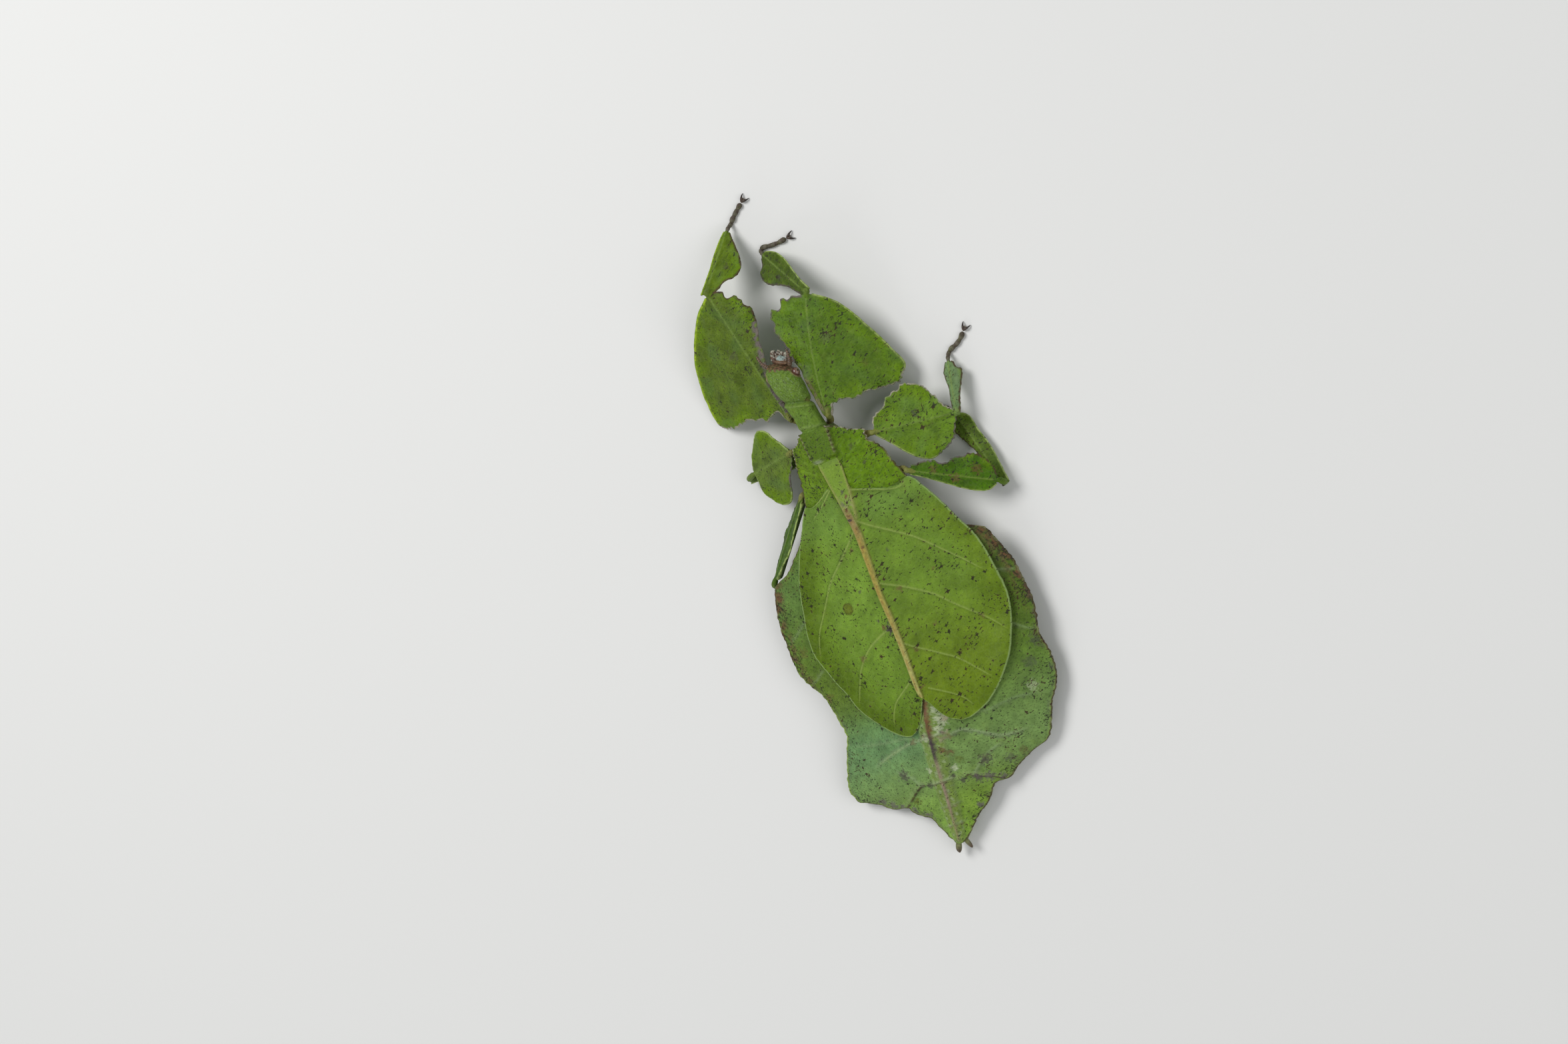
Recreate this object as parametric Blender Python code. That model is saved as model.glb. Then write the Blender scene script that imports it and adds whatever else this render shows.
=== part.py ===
"""Leaf insect: an adult female at life size, at rest on a level floor.

Lengths are millimetres in the body's own frame: +X is her right, +Y is forward and +Z is up,
and the floor is at Z = 0. Each finished mesh is scaled to metres and moved so that the middle
of the insect's footprint is at the origin. Every piece is a closed solid, clear of the next.
"""

import math

import bmesh
import bpy
from mathutils import Vector

# Units, clearances and the least thickness of a wing, lobe or feeler
MM = 0.001
GAP = 0.35
RIM = 0.55
FLOOR = 0.0
FOOTPRINT_CENTRE = (2.85, 7.45)

# The body along its length, as (y, value) pairs from the head back
MIDLINE = [(45, -5.9), (38, -4.5), (33, -3.1), (27, -1.6), (20, -0.8), (9, -0.1), (0, 0.2),
           (-20, 0.1), (-30, -0.4), (-38, -1.7), (-46, -3.4), (-52, -4.8), (-61, -6.9)]
CREST = [(28, 12.9), (20, 12.6), (9, 12.1), (0, 11.6), (-12, 11.0), (-30, 10.3), (-38, 9.7),
         (-46, 7.9), (-52, 5.9), (-58, 3.7), (-61, 2.8)]
PITCH = [(28, 0.30), (20, 0.30), (9, 0.29), (0, 0.27), (-38, 0.27), (-46, 0.25), (-50, 0.34),
         (-61, 0.40)]
BELLY = [(28, 7.0), (20, 6.3), (10, 4.3), (0, 1.7), (-8, -0.2), (-14, -1.2), (-30, -1.2),
         (-37, 0.3), (-44, 1.5), (-52, 1.7), (-61, 1.4)]
CORE_HALF_WIDTH = [(28, 4.2), (20, 5.2), (0, 7.0), (-20, 8.0), (-38, 6.6), (-52, 4.2), (-61, 2.4)]
CREST_ROUNDING = 2.0
LAMELLA_SWELL = 0.5

# Where the columns of a body slab lie, from the midline (0) to the rim (1)
HALF_COLUMNS = [0.0, 0.14, 0.32, 0.56, 0.80, 1.0]
RIB_BOW = 1.7

# Body slabs: ribs as (left rim, y on the midline, right rim)
MESOTHORAX_RIBS = [
    ((-4.7, 27.1), 26.9, (1.3, 27.1)),
    ((-5.8, 26.2), 25.4, (3.9, 25.8)),
    ((-6.9, 25.3), 24.0, (6.6, 24.7)),
    ((-7.2, 23.9), 22.6, (8.0, 23.9)),
    ((-8.0, 22.4), 20.9, (8.0, 22.0)),
]
METATHORAX_RIBS = [
    ((-8.2, 22.0), 20.5, (8.2, 21.6)),
    ((-8.8, 20.0), 18.4, (10.2, 19.3)),
    ((-8.6, 17.6), 16.0, (10.9, 17.2)),
    ((-8.5, 15.4), 13.8, (10.9, 14.9)),
    ((-10.0, 13.6), 12.0, (12.4, 12.3)),
]
ABDOMEN_FRONT_RIBS = [
    ((-10.4, 13.2), 11.6, (12.4, 11.8)),
    ((-15.3, 7.4), 6.0, (15.0, 6.8)),
    ((-19.6, 3.0), 1.5, (18.2, 1.4)),
    ((-25.0, -0.2), -3.0, (22.6, -3.2)),
    ((-27.0, -7.0), -8.5, (25.3, -8.8)),
    ((-27.1, -13.5), -14.5, (26.6, -15.5)),
    ((-25.6, -19.5), -20.5, (26.5, -22.0)),
    ((-22.8, -25.6), -26.5, (25.8, -27.0)),
    ((-21.8, -31.0), -32.0, (26.0, -32.5)),
    ((-23.0, -36.2), -37.3, (23.6, -38.3)),
]
ABDOMEN_SEVENTH_RIBS = [
    ((-23.2, -36.7), -37.8, (23.3, -38.8)),
    ((-25.0, -40.6), -40.8, (21.6, -42.0)),
    ((-25.6, -43.8), -43.2, (20.2, -44.6)),
    ((-24.4, -46.6), -45.2, (17.6, -46.8)),
    ((-15.6, -50.2), -47.1, (8.6, -50.6)),
]
ABDOMEN_TIP_RIBS = [
    ((-15.0, -50.8), -47.6, (8.0, -51.2)),
    ((-13.0, -52.7), -50.2, (4.9, -51.7)),
    ((-11.0, -54.0), -53.0, (2.6, -53.9)),
    ((-9.9, -56.6), -56.0, (-0.9, -55.9)),
    ((-8.7, -58.8), -58.6, (-3.8, -58.4)),
    ((-7.5, -60.1), -60.3, (-5.8, -60.1)),
]

# The raised plate on the mesothorax, between its two rows of tubercles
SCUTUM_HALF_WIDTH = 2.6
SCUTUM_SLOPE = 0.9
SCUTUM_HEIGHT = 1.0

# Forewings: ribs as (y on the midline, outer edge)
WING_LIFT = 0.9
WING_LIFT_WIDTH = 4.5
WING_COLUMNS = [0.0, 0.07, 0.2, 0.4, 0.6, 0.8, 1.0]
RIGHT_WING_RIBS = [
    (20.2, (1.7, 20.2)), (16.8, (1.9, 16.8)), (13.4, (2.2, 13.4)), (10.6, (6.3, 11.5)),
    (8.6, (10.8, 9.8)), (6.0, (15.6, 7.8)), (2.5, (17.9, 3.8)), (-1.5, (20.6, -1.8)),
    (-6.0, (22.0, -6.8)), (-11.0, (22.6, -12.2)), (-16.0, (22.2, -17.6)), (-20.5, (20.6, -23.0)),
    (-24.0, (17.8, -28.2)), (-26.6, (14.4, -32.0)), (-28.4, (10.6, -34.9)), (-29.6, (5.6, -36.6)),
]
RIGHT_WING_END = ((2.4, -35.4), (1.5, -33.0))
LEFT_WING_RIBS = [
    (20.2, (-3.0, 20.4)), (17.2, (-2.6, 17.6)), (14.2, (-3.1, 14.4)), (11.6, (-6.6, 12.4)),
    (9.4, (-10.0, 11.0)), (7.0, (-13.2, 9.4)), (3.5, (-15.9, 4.8)), (-1.0, (-18.4, -1.0)),
    (-6.0, (-20.2, -6.6)), (-11.0, (-21.1, -12.0)), (-16.0, (-20.6, -17.6)), (-20.5, (-18.9, -22.4)),
    (-24.0, (-16.6, -28.2)), (-26.6, (-12.8, -32.6)), (-28.4, (-8.6, -35.7)), (-29.6, (-5.4, -36.7)),
]
LEFT_WING_END = ((-2.9, -36.2), (-1.4, -33.4))

# Head and neck: rings as (y, half width, half height, height of the centre)
PROTHORAX_RINGS = [(27.5, 2.6, 2.5, 10.4), (28.6, 2.6, 2.7, 10.4), (30.6, 2.6, 2.7, 10.4),
                   (32.2, 2.8, 2.6, 10.4), (33.3, 2.8, 2.3, 10.4)]
HEAD_RINGS = [(33.7, 2.6, 2.1, 10.4), (34.6, 3.0, 2.5, 10.5), (36.2, 3.2, 2.9, 10.6),
              (37.8, 3.3, 3.0, 10.5), (39.2, 3.1, 2.9, 10.3), (40.4, 2.8, 2.6, 10.0),
              (41.4, 2.2, 2.1, 9.7), (42.0, 1.5, 1.5, 9.5)]
HEAD_SIDES = 16
SQUARENESS = 2.4
KEEL = 0.24
EYE_RADIUS = 0.8
EYES = {"right": Vector((-1.35, 39.3, 10.9)), "left": Vector((-7.45, 39.8, 10.7))}
EYE_SINK = 0.30

# Mouthparts: rings in front of the face as (y, half width, half height, centre height)
MOUTH_RINGS = [(42.4, 1.2, 1.3, 9.4), (43.1, 1.6, 1.3, 9.2), (44.3, 1.5, 1.0, 9.0),
               (45.2, 0.9, 0.7, 8.9)]

# Feelers and tail feelers: path points with their radii
ANTENNAE = {
    "right": [((-3.5, 42.3, 11.2), 0.42), ((-3.1, 43.3, 11.6), 0.32), ((-2.7, 44.3, 11.8), 0.30),
              ((-2.4, 45.2, 11.8), 0.27)],
    "left": [((-7.3, 42.2, 10.9), 0.42), ((-7.7, 43.0, 11.1), 0.32), ((-8.0, 43.9, 11.2), 0.30),
             ((-8.2, 44.8, 11.1), 0.27)],
}
CERCI = {
    "right": [((-5.6, -60.4, 2.3), 0.45), ((-5.3, -61.2, 2.2), 0.50), ((-5.1, -61.9, 2.1), 0.30)],
    "left": [((-7.6, -60.6, 2.3), 0.45), ((-7.9, -61.4, 2.2), 0.50), ((-8.0, -62.1, 2.1), 0.30)],
}

# Legs. Each lobed length has a start, an end and the edges of its two lobes as
# (distance along, distance out) pairs; "fall" is how steeply each lobe droops, in degrees.
FORE_KNEE_RIGHT = (6.2, 53.3, 10.0)
FORE_KNEE_LEFT = (-14.2, 60.3, 10.0)
MID_KNEE_RIGHT = (25.2, 20.7, 4.5)
MID_KNEE_LEFT = (-21.9, 23.1, 3.6)
HIND_KNEE_RIGHT = (29.0, 5.2, 4.4)
HIND_KNEE_LEFT = (-25.2, 1.3, 3.6)
LEVEL = (0, 0, 1)
ON_EDGE = (-0.62, 0.48, 0.62)
FEMORA = {
    "fore_right": dict(
        start=(1.7, 28.9, 10.5), end=FORE_KNEE_RIGHT, fall=(20, 5), radius=0.95, up=LEVEL,
        right=[(0.8, 0.8), (2.6, 2.0), (2.4, 5.2), (3.2, 9.4), (4.3, 14.6), (7.2, 16.4),
               (10.2, 14.9), (13.4, 12.7), (16.7, 10.3), (20.2, 7.4), (22.8, 4.4), (24.3, 1.2)],
        left=[(0.8, 0.8), (3.5, 1.2), (6.5, 1.8), (9.6, 2.6), (12.0, 4.6), (14.8, 6.2),
              (17.6, 8.2), (19.6, 9.3), (21.8, 9.1), (23.4, 7.4), (24.6, 4.8), (24.3, 1.2)]),
    "fore_left": dict(
        start=(-7.1, 30.9, 8.8), end=FORE_KNEE_LEFT, fall=(5, 20), radius=0.95, up=LEVEL,
        right=[(0.8, 0.8), (4.5, 0.9), (8.0, 1.1), (11.5, 1.4), (15.0, 2.0), (18.4, 2.5),
               (19.6, 4.4), (21.4, 5.8), (23.4, 6.0), (26.2, 4.8), (28.4, 3.4), (29.7, 1.2)],
        left=[(0.8, 0.9), (2.6, 2.4), (2.4, 5.8), (4.8, 9.6), (5.7, 14.6), (7.4, 18.0),
              (11.2, 18.2), (16.2, 16.6), (20.8, 14.0), (24.8, 10.0), (28.0, 5.8), (29.7, 1.3)]),
    "mid_right": dict(
        start=(8.9, 22.7, 9.3), end=MID_KNEE_RIGHT, fall=(0, 0), radius=0.90, up=LEVEL,
        right=[(0.3, 0.7), (1.2, 1.4), (3.2, 3.1), (5.3, 5.2), (7.8, 7.0), (10.2, 7.8),
               (12.4, 7.0), (14.5, 5.7), (16.0, 3.5), (16.8, 1.0)],
        left=[(0.3, 0.8), (0.6, 2.6), (2.6, 4.4), (4.8, 6.5), (7.0, 7.7), (9.4, 7.8),
              (11.6, 6.7), (13.6, 4.2), (15.2, 1.9), (16.6, 0.8)]),
    "mid_left": dict(
        start=(-9.1, 24.6, 9.6), end=MID_KNEE_LEFT, fall=(0, 0), radius=0.90, up=LEVEL,
        right=[(0.3, 0.8), (1.4, 2.4), (2.8, 4.2), (4.2, 6.0), (6.2, 7.2), (8.2, 6.6),
               (10.0, 4.9), (11.4, 3.2), (12.4, 1.8), (13.0, 0.8)],
        left=[(0.3, 0.8), (1.6, 2.4), (3.4, 4.6), (5.2, 7.0), (7.2, 8.6), (9.4, 8.3),
              (11.2, 7.0), (12.4, 5.2), (13.0, 3.0), (13.0, 0.9)]),
    "hind_right": dict(
        start=(13.1, 13.3, 9.3), end=HIND_KNEE_RIGHT, fall=(0, 0), radius=0.90, up=LEVEL,
        right=[(0.3, 0.8), (2.4, 1.0), (5.0, 1.4), (8.0, 1.9), (11.0, 2.4), (14.0, 2.6),
               (16.4, 2.2), (17.8, 0.9)],
        left=[(0.3, 1.0), (2.4, 2.1), (5.0, 2.5), (8.0, 3.2), (11.0, 4.6), (13.6, 4.6),
              (16.2, 3.2), (17.8, 0.9)]),
    "hind_left": dict(
        start=(-10.5, 15.7, 8.9), end=HIND_KNEE_LEFT, fall=(0, 0), radius=0.80, up=ON_EDGE,
        right=[(0.3, 0.8), (3.0, 1.7), (6.0, 2.5), (9.2, 2.9), (12.6, 2.9), (15.6, 2.3),
               (18.2, 1.5), (20.2, 0.8)],
        left=[(0.3, 0.8), (3.0, 1.6), (6.0, 2.2), (9.2, 2.6), (12.6, 2.5), (15.6, 1.9),
              (18.2, 1.2), (20.2, 0.8)]),
}
TIBIAE = {
    "fore_right": dict(
        start=FORE_KNEE_RIGHT, end=(-3.7, 64.2, 1.7), fall=(0, 0), radius=0.75, up=LEVEL,
        right=[(1.2, 0.7), (3.6, 1.2), (6.0, 1.7), (8.4, 2.2), (10.8, 2.5), (13.2, 2.2),
               (15.2, 1.4), (16.4, 0.6)],
        left=[(1.2, 0.7), (3.8, 1.4), (6.2, 2.0), (8.6, 3.1), (11.2, 4.2), (13.6, 4.0),
              (15.2, 2.0), (16.4, 0.6)]),
    "fore_left": dict(
        start=FORE_KNEE_LEFT, end=(-8.7, 71.4, 1.7), fall=(0, 0), radius=0.75, up=LEVEL,
        right=[(1.2, 0.8), (2.4, 3.0), (4.4, 4.8), (6.6, 5.4), (8.8, 4.5), (11.0, 3.0),
               (12.8, 1.6), (14.2, 0.6)],
        left=[(1.2, 0.7), (3.2, 0.8), (5.4, 0.9), (7.6, 1.1), (9.8, 1.1), (11.6, 1.0),
              (13.0, 0.8), (14.2, 0.6)]),
    "mid_right": dict(
        start=MID_KNEE_RIGHT, end=(26.2, 31.6, 1.5), fall=(0, 0), radius=0.60, up=LEVEL,
        right=[(1.6, 0.7), (2.8, 1.3), (4.8, 1.8), (6.8, 2.4), (8.4, 2.5), (9.6, 1.5),
               (10.6, 0.6)],
        left=[(1.6, 0.6), (2.8, 0.8), (4.8, 0.9), (6.8, 1.2), (8.4, 1.4), (9.6, 1.1),
              (10.6, 0.6)]),
    "mid_left": dict(
        start=(-23.0, 22.4, 2.2), end=(-11.4, 23.0, 1.1), fall=(0, 0), radius=0.55, up=LEVEL,
        right=[(0.6, 0.7), (2.4, 0.9), (4.4, 1.2), (6.6, 1.4), (8.6, 1.5), (10.2, 1.2),
               (11.3, 0.6)],
        left=[(0.6, 0.7), (2.4, 1.3), (4.4, 1.8), (6.6, 2.3), (8.6, 2.3), (10.2, 1.4),
              (11.3, 0.6)]),
    "hind_right": dict(
        start=(28.7, 4.6, 2.1), end=(23.4, 20.8, 1.2), fall=(0, 0), radius=0.60, up=LEVEL,
        right=[(0.6, 0.8), (3.0, 1.4), (5.8, 2.0), (8.8, 2.2), (11.6, 2.1), (14.2, 2.3),
               (15.8, 1.6), (16.6, 0.7)],
        left=[(0.6, 0.7), (3.0, 0.7), (5.8, 0.9), (8.8, 1.3), (11.6, 1.9), (14.2, 2.3),
              (15.8, 1.6), (16.6, 0.7)]),
    "hind_left": dict(
        start=(-25.6, 0.3, 2.7), end=(-15.8, -11.6, 1.1), fall=(0, 0), radius=0.55, up=LEVEL,
        right=[(0.6, 0.7), (2.8, 1.2), (5.2, 1.6), (8.0, 1.9), (10.6, 1.9), (13.0, 1.3),
               (15.0, 0.6)],
        left=[(0.6, 0.7), (2.8, 0.9), (5.2, 1.2), (8.0, 1.4), (10.6, 1.4), (13.0, 1.0),
              (15.0, 0.6)]),
}

# Hips: from the body's side to the start of the femur
COXAE = {
    "fore_right": [((0.1, 28.0, 6.8), 0.6), ((0.6, 28.2, 7.7), 0.7), ((1.2, 28.6, 8.8), 0.5)],
    "fore_left": [((-5.9, 30.1, 7.2), 0.7), ((-6.5, 30.4, 7.9), 0.8), ((-7.0, 30.7, 8.4), 0.6)],
    "mid_right": [((6.0, 23.0, 8.2), 0.8), ((7.2, 22.9, 8.9), 0.85), ((8.4, 22.8, 9.2), 0.7)],
    "mid_left": [((-6.3, 24.4, 8.4), 0.8), ((-7.4, 24.5, 9.1), 0.85), ((-8.6, 24.6, 9.4), 0.7)],
    "hind_right": [((10.6, 14.0, 7.3), 0.7), ((11.6, 13.9, 7.7), 0.8), ((12.4, 13.6, 7.9), 0.6)],
    "hind_left": [((-8.6, 16.3, 7.7), 0.7), ((-9.3, 16.2, 8.1), 0.75), ((-9.9, 16.0, 8.4), 0.6)],
}

# Feet: five short joints from the ankle to the claws, and the way the claws spread
FEET = {
    "fore_right": [(-4.2, 64.8), (-3.4, 65.2), (-1.6, 65.0), (0.2, 65.0), (1.9, 65.2)],
    "fore_left": [(-8.4, 72.0), (-7.7, 72.7), (-6.7, 73.6), (-5.7, 74.4), (-4.7, 75.1)],
    "mid_right": [(26.3, 32.3), (27.2, 32.9), (28.5, 33.4), (29.7, 34.2), (30.7, 35.2)],
    "mid_left": [(-10.7, 23.1), (-9.4, 23.4), (-7.8, 23.8), (-6.2, 24.2), (-4.6, 24.7)],
    "hind_right": [(22.8, 21.3), (21.8, 22.2), (20.4, 23.2), (18.9, 24.0), (17.3, 24.7)],
    "hind_left": [(-15.3, -12.2), (-14.6, -13.5), (-13.8, -15.1), (-13.2, -16.8), (-12.9, -18.6)],
}
FOOT_RADII = [0.45, 0.55, 0.50, 0.50, 0.62]
FOOT_SINK = 0.12
CLAW_LENGTH = 1.6
CLAW_SPREAD = 34.0
CLAW_RADIUS = 0.28
CLAW_HEIGHT = 0.45

COLOURS = {
    "leaf_green": ((0.16, 0.27, 0.06), 0.55),
    "wing_green": ((0.15, 0.26, 0.05), 0.50),
    "limb_brown": ((0.16, 0.10, 0.07), 0.55),
    "eye": ((0.25, 0.16, 0.11), 0.25),
}


def profile(table, y):
    """The smooth curve through a table's (y, value) pairs, which run from front to back."""
    if y >= table[0][0]:
        return table[0][1]
    if y <= table[-1][0]:
        return table[-1][1]
    i = next(k for k in range(len(table) - 1) if y >= table[k + 1][0])
    before = table[max(i - 1, 0)]
    here = table[i]
    there = table[i + 1]
    after = table[min(i + 2, len(table) - 1)]
    span = there[0] - here[0]
    rise_here = (there[1] - before[1]) / (there[0] - before[0]) * span
    rise_there = (after[1] - here[1]) / (after[0] - here[0]) * span
    t = (y - here[0]) / span
    return (here[1] * (2 * t**3 - 3 * t**2 + 1) + rise_here * (t**3 - 2 * t**2 + t)
            + there[1] * (3 * t**2 - 2 * t**3) + rise_there * (t**3 - t**2))


def back(x, y):
    """Height of the body's back: a rounded crest on the midline that falls to both sides."""
    away = abs(x - profile(MIDLINE, y))
    fall = math.hypot(away, CREST_ROUNDING) - CREST_ROUNDING
    return profile(CREST, y) - profile(PITCH, y) * fall


def belly(x, y, rim_distance):
    """Height of the underside: thin flanges beside a rounded core, flat where it lies down."""
    away = abs(x - profile(MIDLINE, y))
    core = profile(CORE_HALF_WIDTH, y)
    roundness = max(0.0, 1 - (away / core) ** 2) ** 0.6
    deep = profile(CREST, y) - profile(BELLY, y)
    flange = RIM + LAMELLA_SWELL * (1 - away / max(rim_distance, away, 0.01))
    return max(FLOOR, back(x, y) - flange - (deep - flange) * roundness)


def new_object(name, mesh, colour):
    """An object of this mesh, scaled to metres about the footprint's centre, in its own colour."""
    for vertex in mesh.vertices:
        vertex.co = (vertex.co - Vector((*FOOTPRINT_CENTRE, FLOOR))) * MM
    obj = bpy.data.objects.new(name, mesh)
    bpy.context.scene.collection.objects.link(obj)
    material = bpy.data.materials.new(name)
    material.use_nodes = True
    shader = material.node_tree.nodes["Principled BSDF"]
    base, roughness = COLOURS[colour]
    shader.inputs["Base Color"].default_value = (*base, 1)
    shader.inputs["Roughness"].default_value = roughness
    mesh.materials.append(material)
    mesh.shade_smooth()
    mesh.set_sharp_from_angle(angle=math.radians(50))
    return obj


def mesh_of(name, points, faces):
    """A mesh whose triangles all face outwards."""
    shape = bmesh.new()
    corners = [shape.verts.new(point) for point in points]
    for face in faces:
        shape.faces.new([corners[i] for i in face])
    bmesh.ops.triangulate(shape, faces=[f for f in shape.faces if len(f.verts) > 3])
    bmesh.ops.recalc_face_normals(shape, faces=shape.faces)
    mesh = bpy.data.meshes.new(name)
    shape.to_mesh(mesh)
    shape.free()
    return mesh


def slab(name, top, bottom, colour):
    """A closed sheet between two grids of points that have the same rows and columns."""
    rows = len(top)
    columns = len(top[0])
    points = [p for row in top for p in row] + [p for row in bottom for p in row]
    under = rows * columns
    faces = []
    for i in range(rows - 1):
        for j in range(columns - 1):
            a = i * columns + j
            b = a + columns
            faces += [(a, b, b + 1), (a, b + 1, a + 1)]
            faces += [(under + a, under + b + 1, under + b), (under + a, under + a + 1, under + b + 1)]
    edge = [j for j in range(columns)]
    edge += [i * columns + columns - 1 for i in range(1, rows)]
    edge += [(rows - 1) * columns + j for j in range(columns - 2, -1, -1)]
    edge += [i * columns for i in range(rows - 2, 0, -1)]
    for a, b in zip(edge, edge[1:] + edge[:1]):
        faces += [(a, b, under + b), (a, under + b, under + a)]
    return new_object(name, mesh_of(name, points, faces), colour)


def rib(left, y_mid, right):
    """Points (x, y) across the body, bowed back towards both rims."""
    x_mid = profile(MIDLINE, y_mid)
    points = []
    for side, columns in ((left, HALF_COLUMNS[:0:-1]), (right, HALF_COLUMNS)):
        for t in columns:
            x = x_mid + (side[0] - x_mid) * t
            points.append((x, y_mid + (side[1] - y_mid) * t**RIB_BOW))
    return points


def body_slab(name, ribs, raised=lambda x, y: 0.0):
    """One length of the trunk, from its ribs."""
    top = []
    bottom = []
    for left, y_mid, right in ribs:
        line = rib(left, y_mid, right)
        reach = max(abs(line[0][0] - line[-1][0]) / 2, 0.1)
        top.append([Vector((x, y, back(x, y) + raised(x, y))) for x, y in line])
        bottom.append([Vector((x, y, belly(x, y, reach))) for x, y in line])
    return slab(name, top, bottom, "leaf_green")


def scutum(x, y):
    """How far the plate on the mesothorax stands above the back."""
    away = abs(x - profile(MIDLINE, y))
    return SCUTUM_HEIGHT * min(1.0, max(0.0, (SCUTUM_HALF_WIDTH + SCUTUM_SLOPE - away) / SCUTUM_SLOPE))


def forewing(name, ribs, end, side):
    """A forewing that lies over the back, thickest where its main veins run by the midline."""
    lines = []
    for y_mid, outer in ribs:
        inner = (profile(MIDLINE, y_mid) + side * GAP / 2, y_mid)
        lines.append([(inner[0] + (outer[0] - inner[0]) * t, inner[1] + (outer[1] - inner[1]) * t**1.2)
                      for t in WING_COLUMNS])
    last = lines[-1]
    corner, waist = end
    lines.append([last[0], (last[0][0] * 0.6 + waist[0] * 0.4, last[0][1] * 0.6 + waist[1] * 0.4 - 0.4),
                  waist, (waist[0] * 0.5 + corner[0] * 0.5, waist[1] * 0.5 + corner[1] * 0.5), corner,
                  (corner[0] * 0.5 + last[-1][0] * 0.5, corner[1] * 0.5 + last[-1][1] * 0.5 - 0.3), last[-1]])
    lines[-1] = [(x, y - 0.5) for x, y in lines[-1]]
    bottom = [[Vector((x, y, back(x, y) + GAP)) for x, y in line] for line in lines]
    top = []
    for line in bottom:
        top.append([p + Vector((0, 0, RIM + wing_lift(p))) for p in line])
    return slab(name, top, bottom, "wing_green")


def wing_lift(p):
    """Extra thickness of a forewing near the midline."""
    away = abs(p.x - profile(MIDLINE, p.y)) / WING_LIFT_WIDTH
    return WING_LIFT * max(0.0, 1 - away) ** 2


def rings(name, stations, colour, sides):
    """A rounded body of squarish rings as (y, half width, half height, height of the centre)."""
    points = []
    for y, half_width, half_height, height in stations:
        for k in range(sides):
            angle = math.tau * (k + 0.5) / sides
            c = math.cos(angle)
            s = math.sin(angle)
            scale = (abs(c) ** SQUARENESS + abs(s) ** SQUARENESS) ** (-1 / SQUARENESS)
            narrow = 1 - KEEL * max(0.0, -s)
            points.append((profile(MIDLINE, y) + half_width * c * scale * narrow, y,
                           height + half_height * s * scale))
    faces = []
    for i in range(len(stations) - 1):
        for k in range(sides):
            a = i * sides + k
            b = i * sides + (k + 1) % sides
            faces.append((a, b, b + sides, a + sides))
    faces.append(tuple(range(sides)))
    faces.append(tuple((len(stations) - 1) * sides + k for k in range(sides)))
    return new_object(name, mesh_of(name, points, faces), colour)


def tube_mesh(name, stations, sides, lowest=None):
    """A closed tube through (centre, radius) stations; nothing of it is under the lowest height."""
    centres = [Vector(centre) for centre, radius in stations]
    points = []
    for i, (centre, radius) in enumerate(stations):
        ahead = centres[min(i + 1, len(centres) - 1)] - centres[max(i - 1, 0)]
        across = ahead.cross(Vector((0, 0, 1)))
        if across.length < 1e-6:
            across = Vector((1, 0, 0))
        across.normalize()
        upward = across.cross(ahead).normalized()
        for k in range(sides):
            angle = math.tau * (k + 0.5) / sides
            p = centres[i] + across * (radius * math.cos(angle)) + upward * (radius * math.sin(angle))
            if lowest is not None:
                p.z = max(p.z, lowest)
            points.append(p)
    faces = []
    for i in range(len(stations) - 1):
        for k in range(sides):
            a = i * sides + k
            b = i * sides + (k + 1) % sides
            faces.append((a, b, b + sides, a + sides))
    faces.append(tuple(range(sides)))
    faces.append(tuple((len(stations) - 1) * sides + k for k in range(sides)))
    return mesh_of(name, points, faces)


def tube(name, stations, colour, sides=8):
    return new_object(name, tube_mesh(name, stations, sides), colour)


def lobed(name, start, end, right, left, fall, radius, up):
    """A length of leg: a round shaft with a thin lobe on each side."""
    start = Vector(start)
    along = Vector(end) - start
    along.normalize()
    level = along.cross(Vector(up)).normalized()
    lift = level.cross(along).normalized()
    out_right = level * math.cos(math.radians(fall[0])) - lift * math.sin(math.radians(fall[0]))
    out_left = -level * math.cos(math.radians(fall[1])) - lift * math.sin(math.radians(fall[1]))
    length = right[-1][0] - right[0][0]
    top = []
    bottom = []
    for i in range(len(right)):
        shaft = start + along * (right[0][0] + length * i / (len(right) - 1))
        line = []
        for edge, out, mirror in ((right[i], out_right, False), (left[i], out_left, True)):
            tip = start + along * edge[0] + out * edge[1]
            reach = (tip - shaft).length
            near = shaft.lerp(tip, min(0.75, radius / reach))
            middle = near.lerp(tip, 0.5)
            half = [(tip, RIM / 2), (middle, RIM * 0.62), (near, min(radius, RIM * 0.9))]
            line += half[::-1] if mirror else half + [(shaft, radius)]
        top.append([p + lift * thick for p, thick in line])
        bottom.append([p - lift * thick for p, thick in line])
    return slab(name, top, bottom, "leaf_green")


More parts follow.
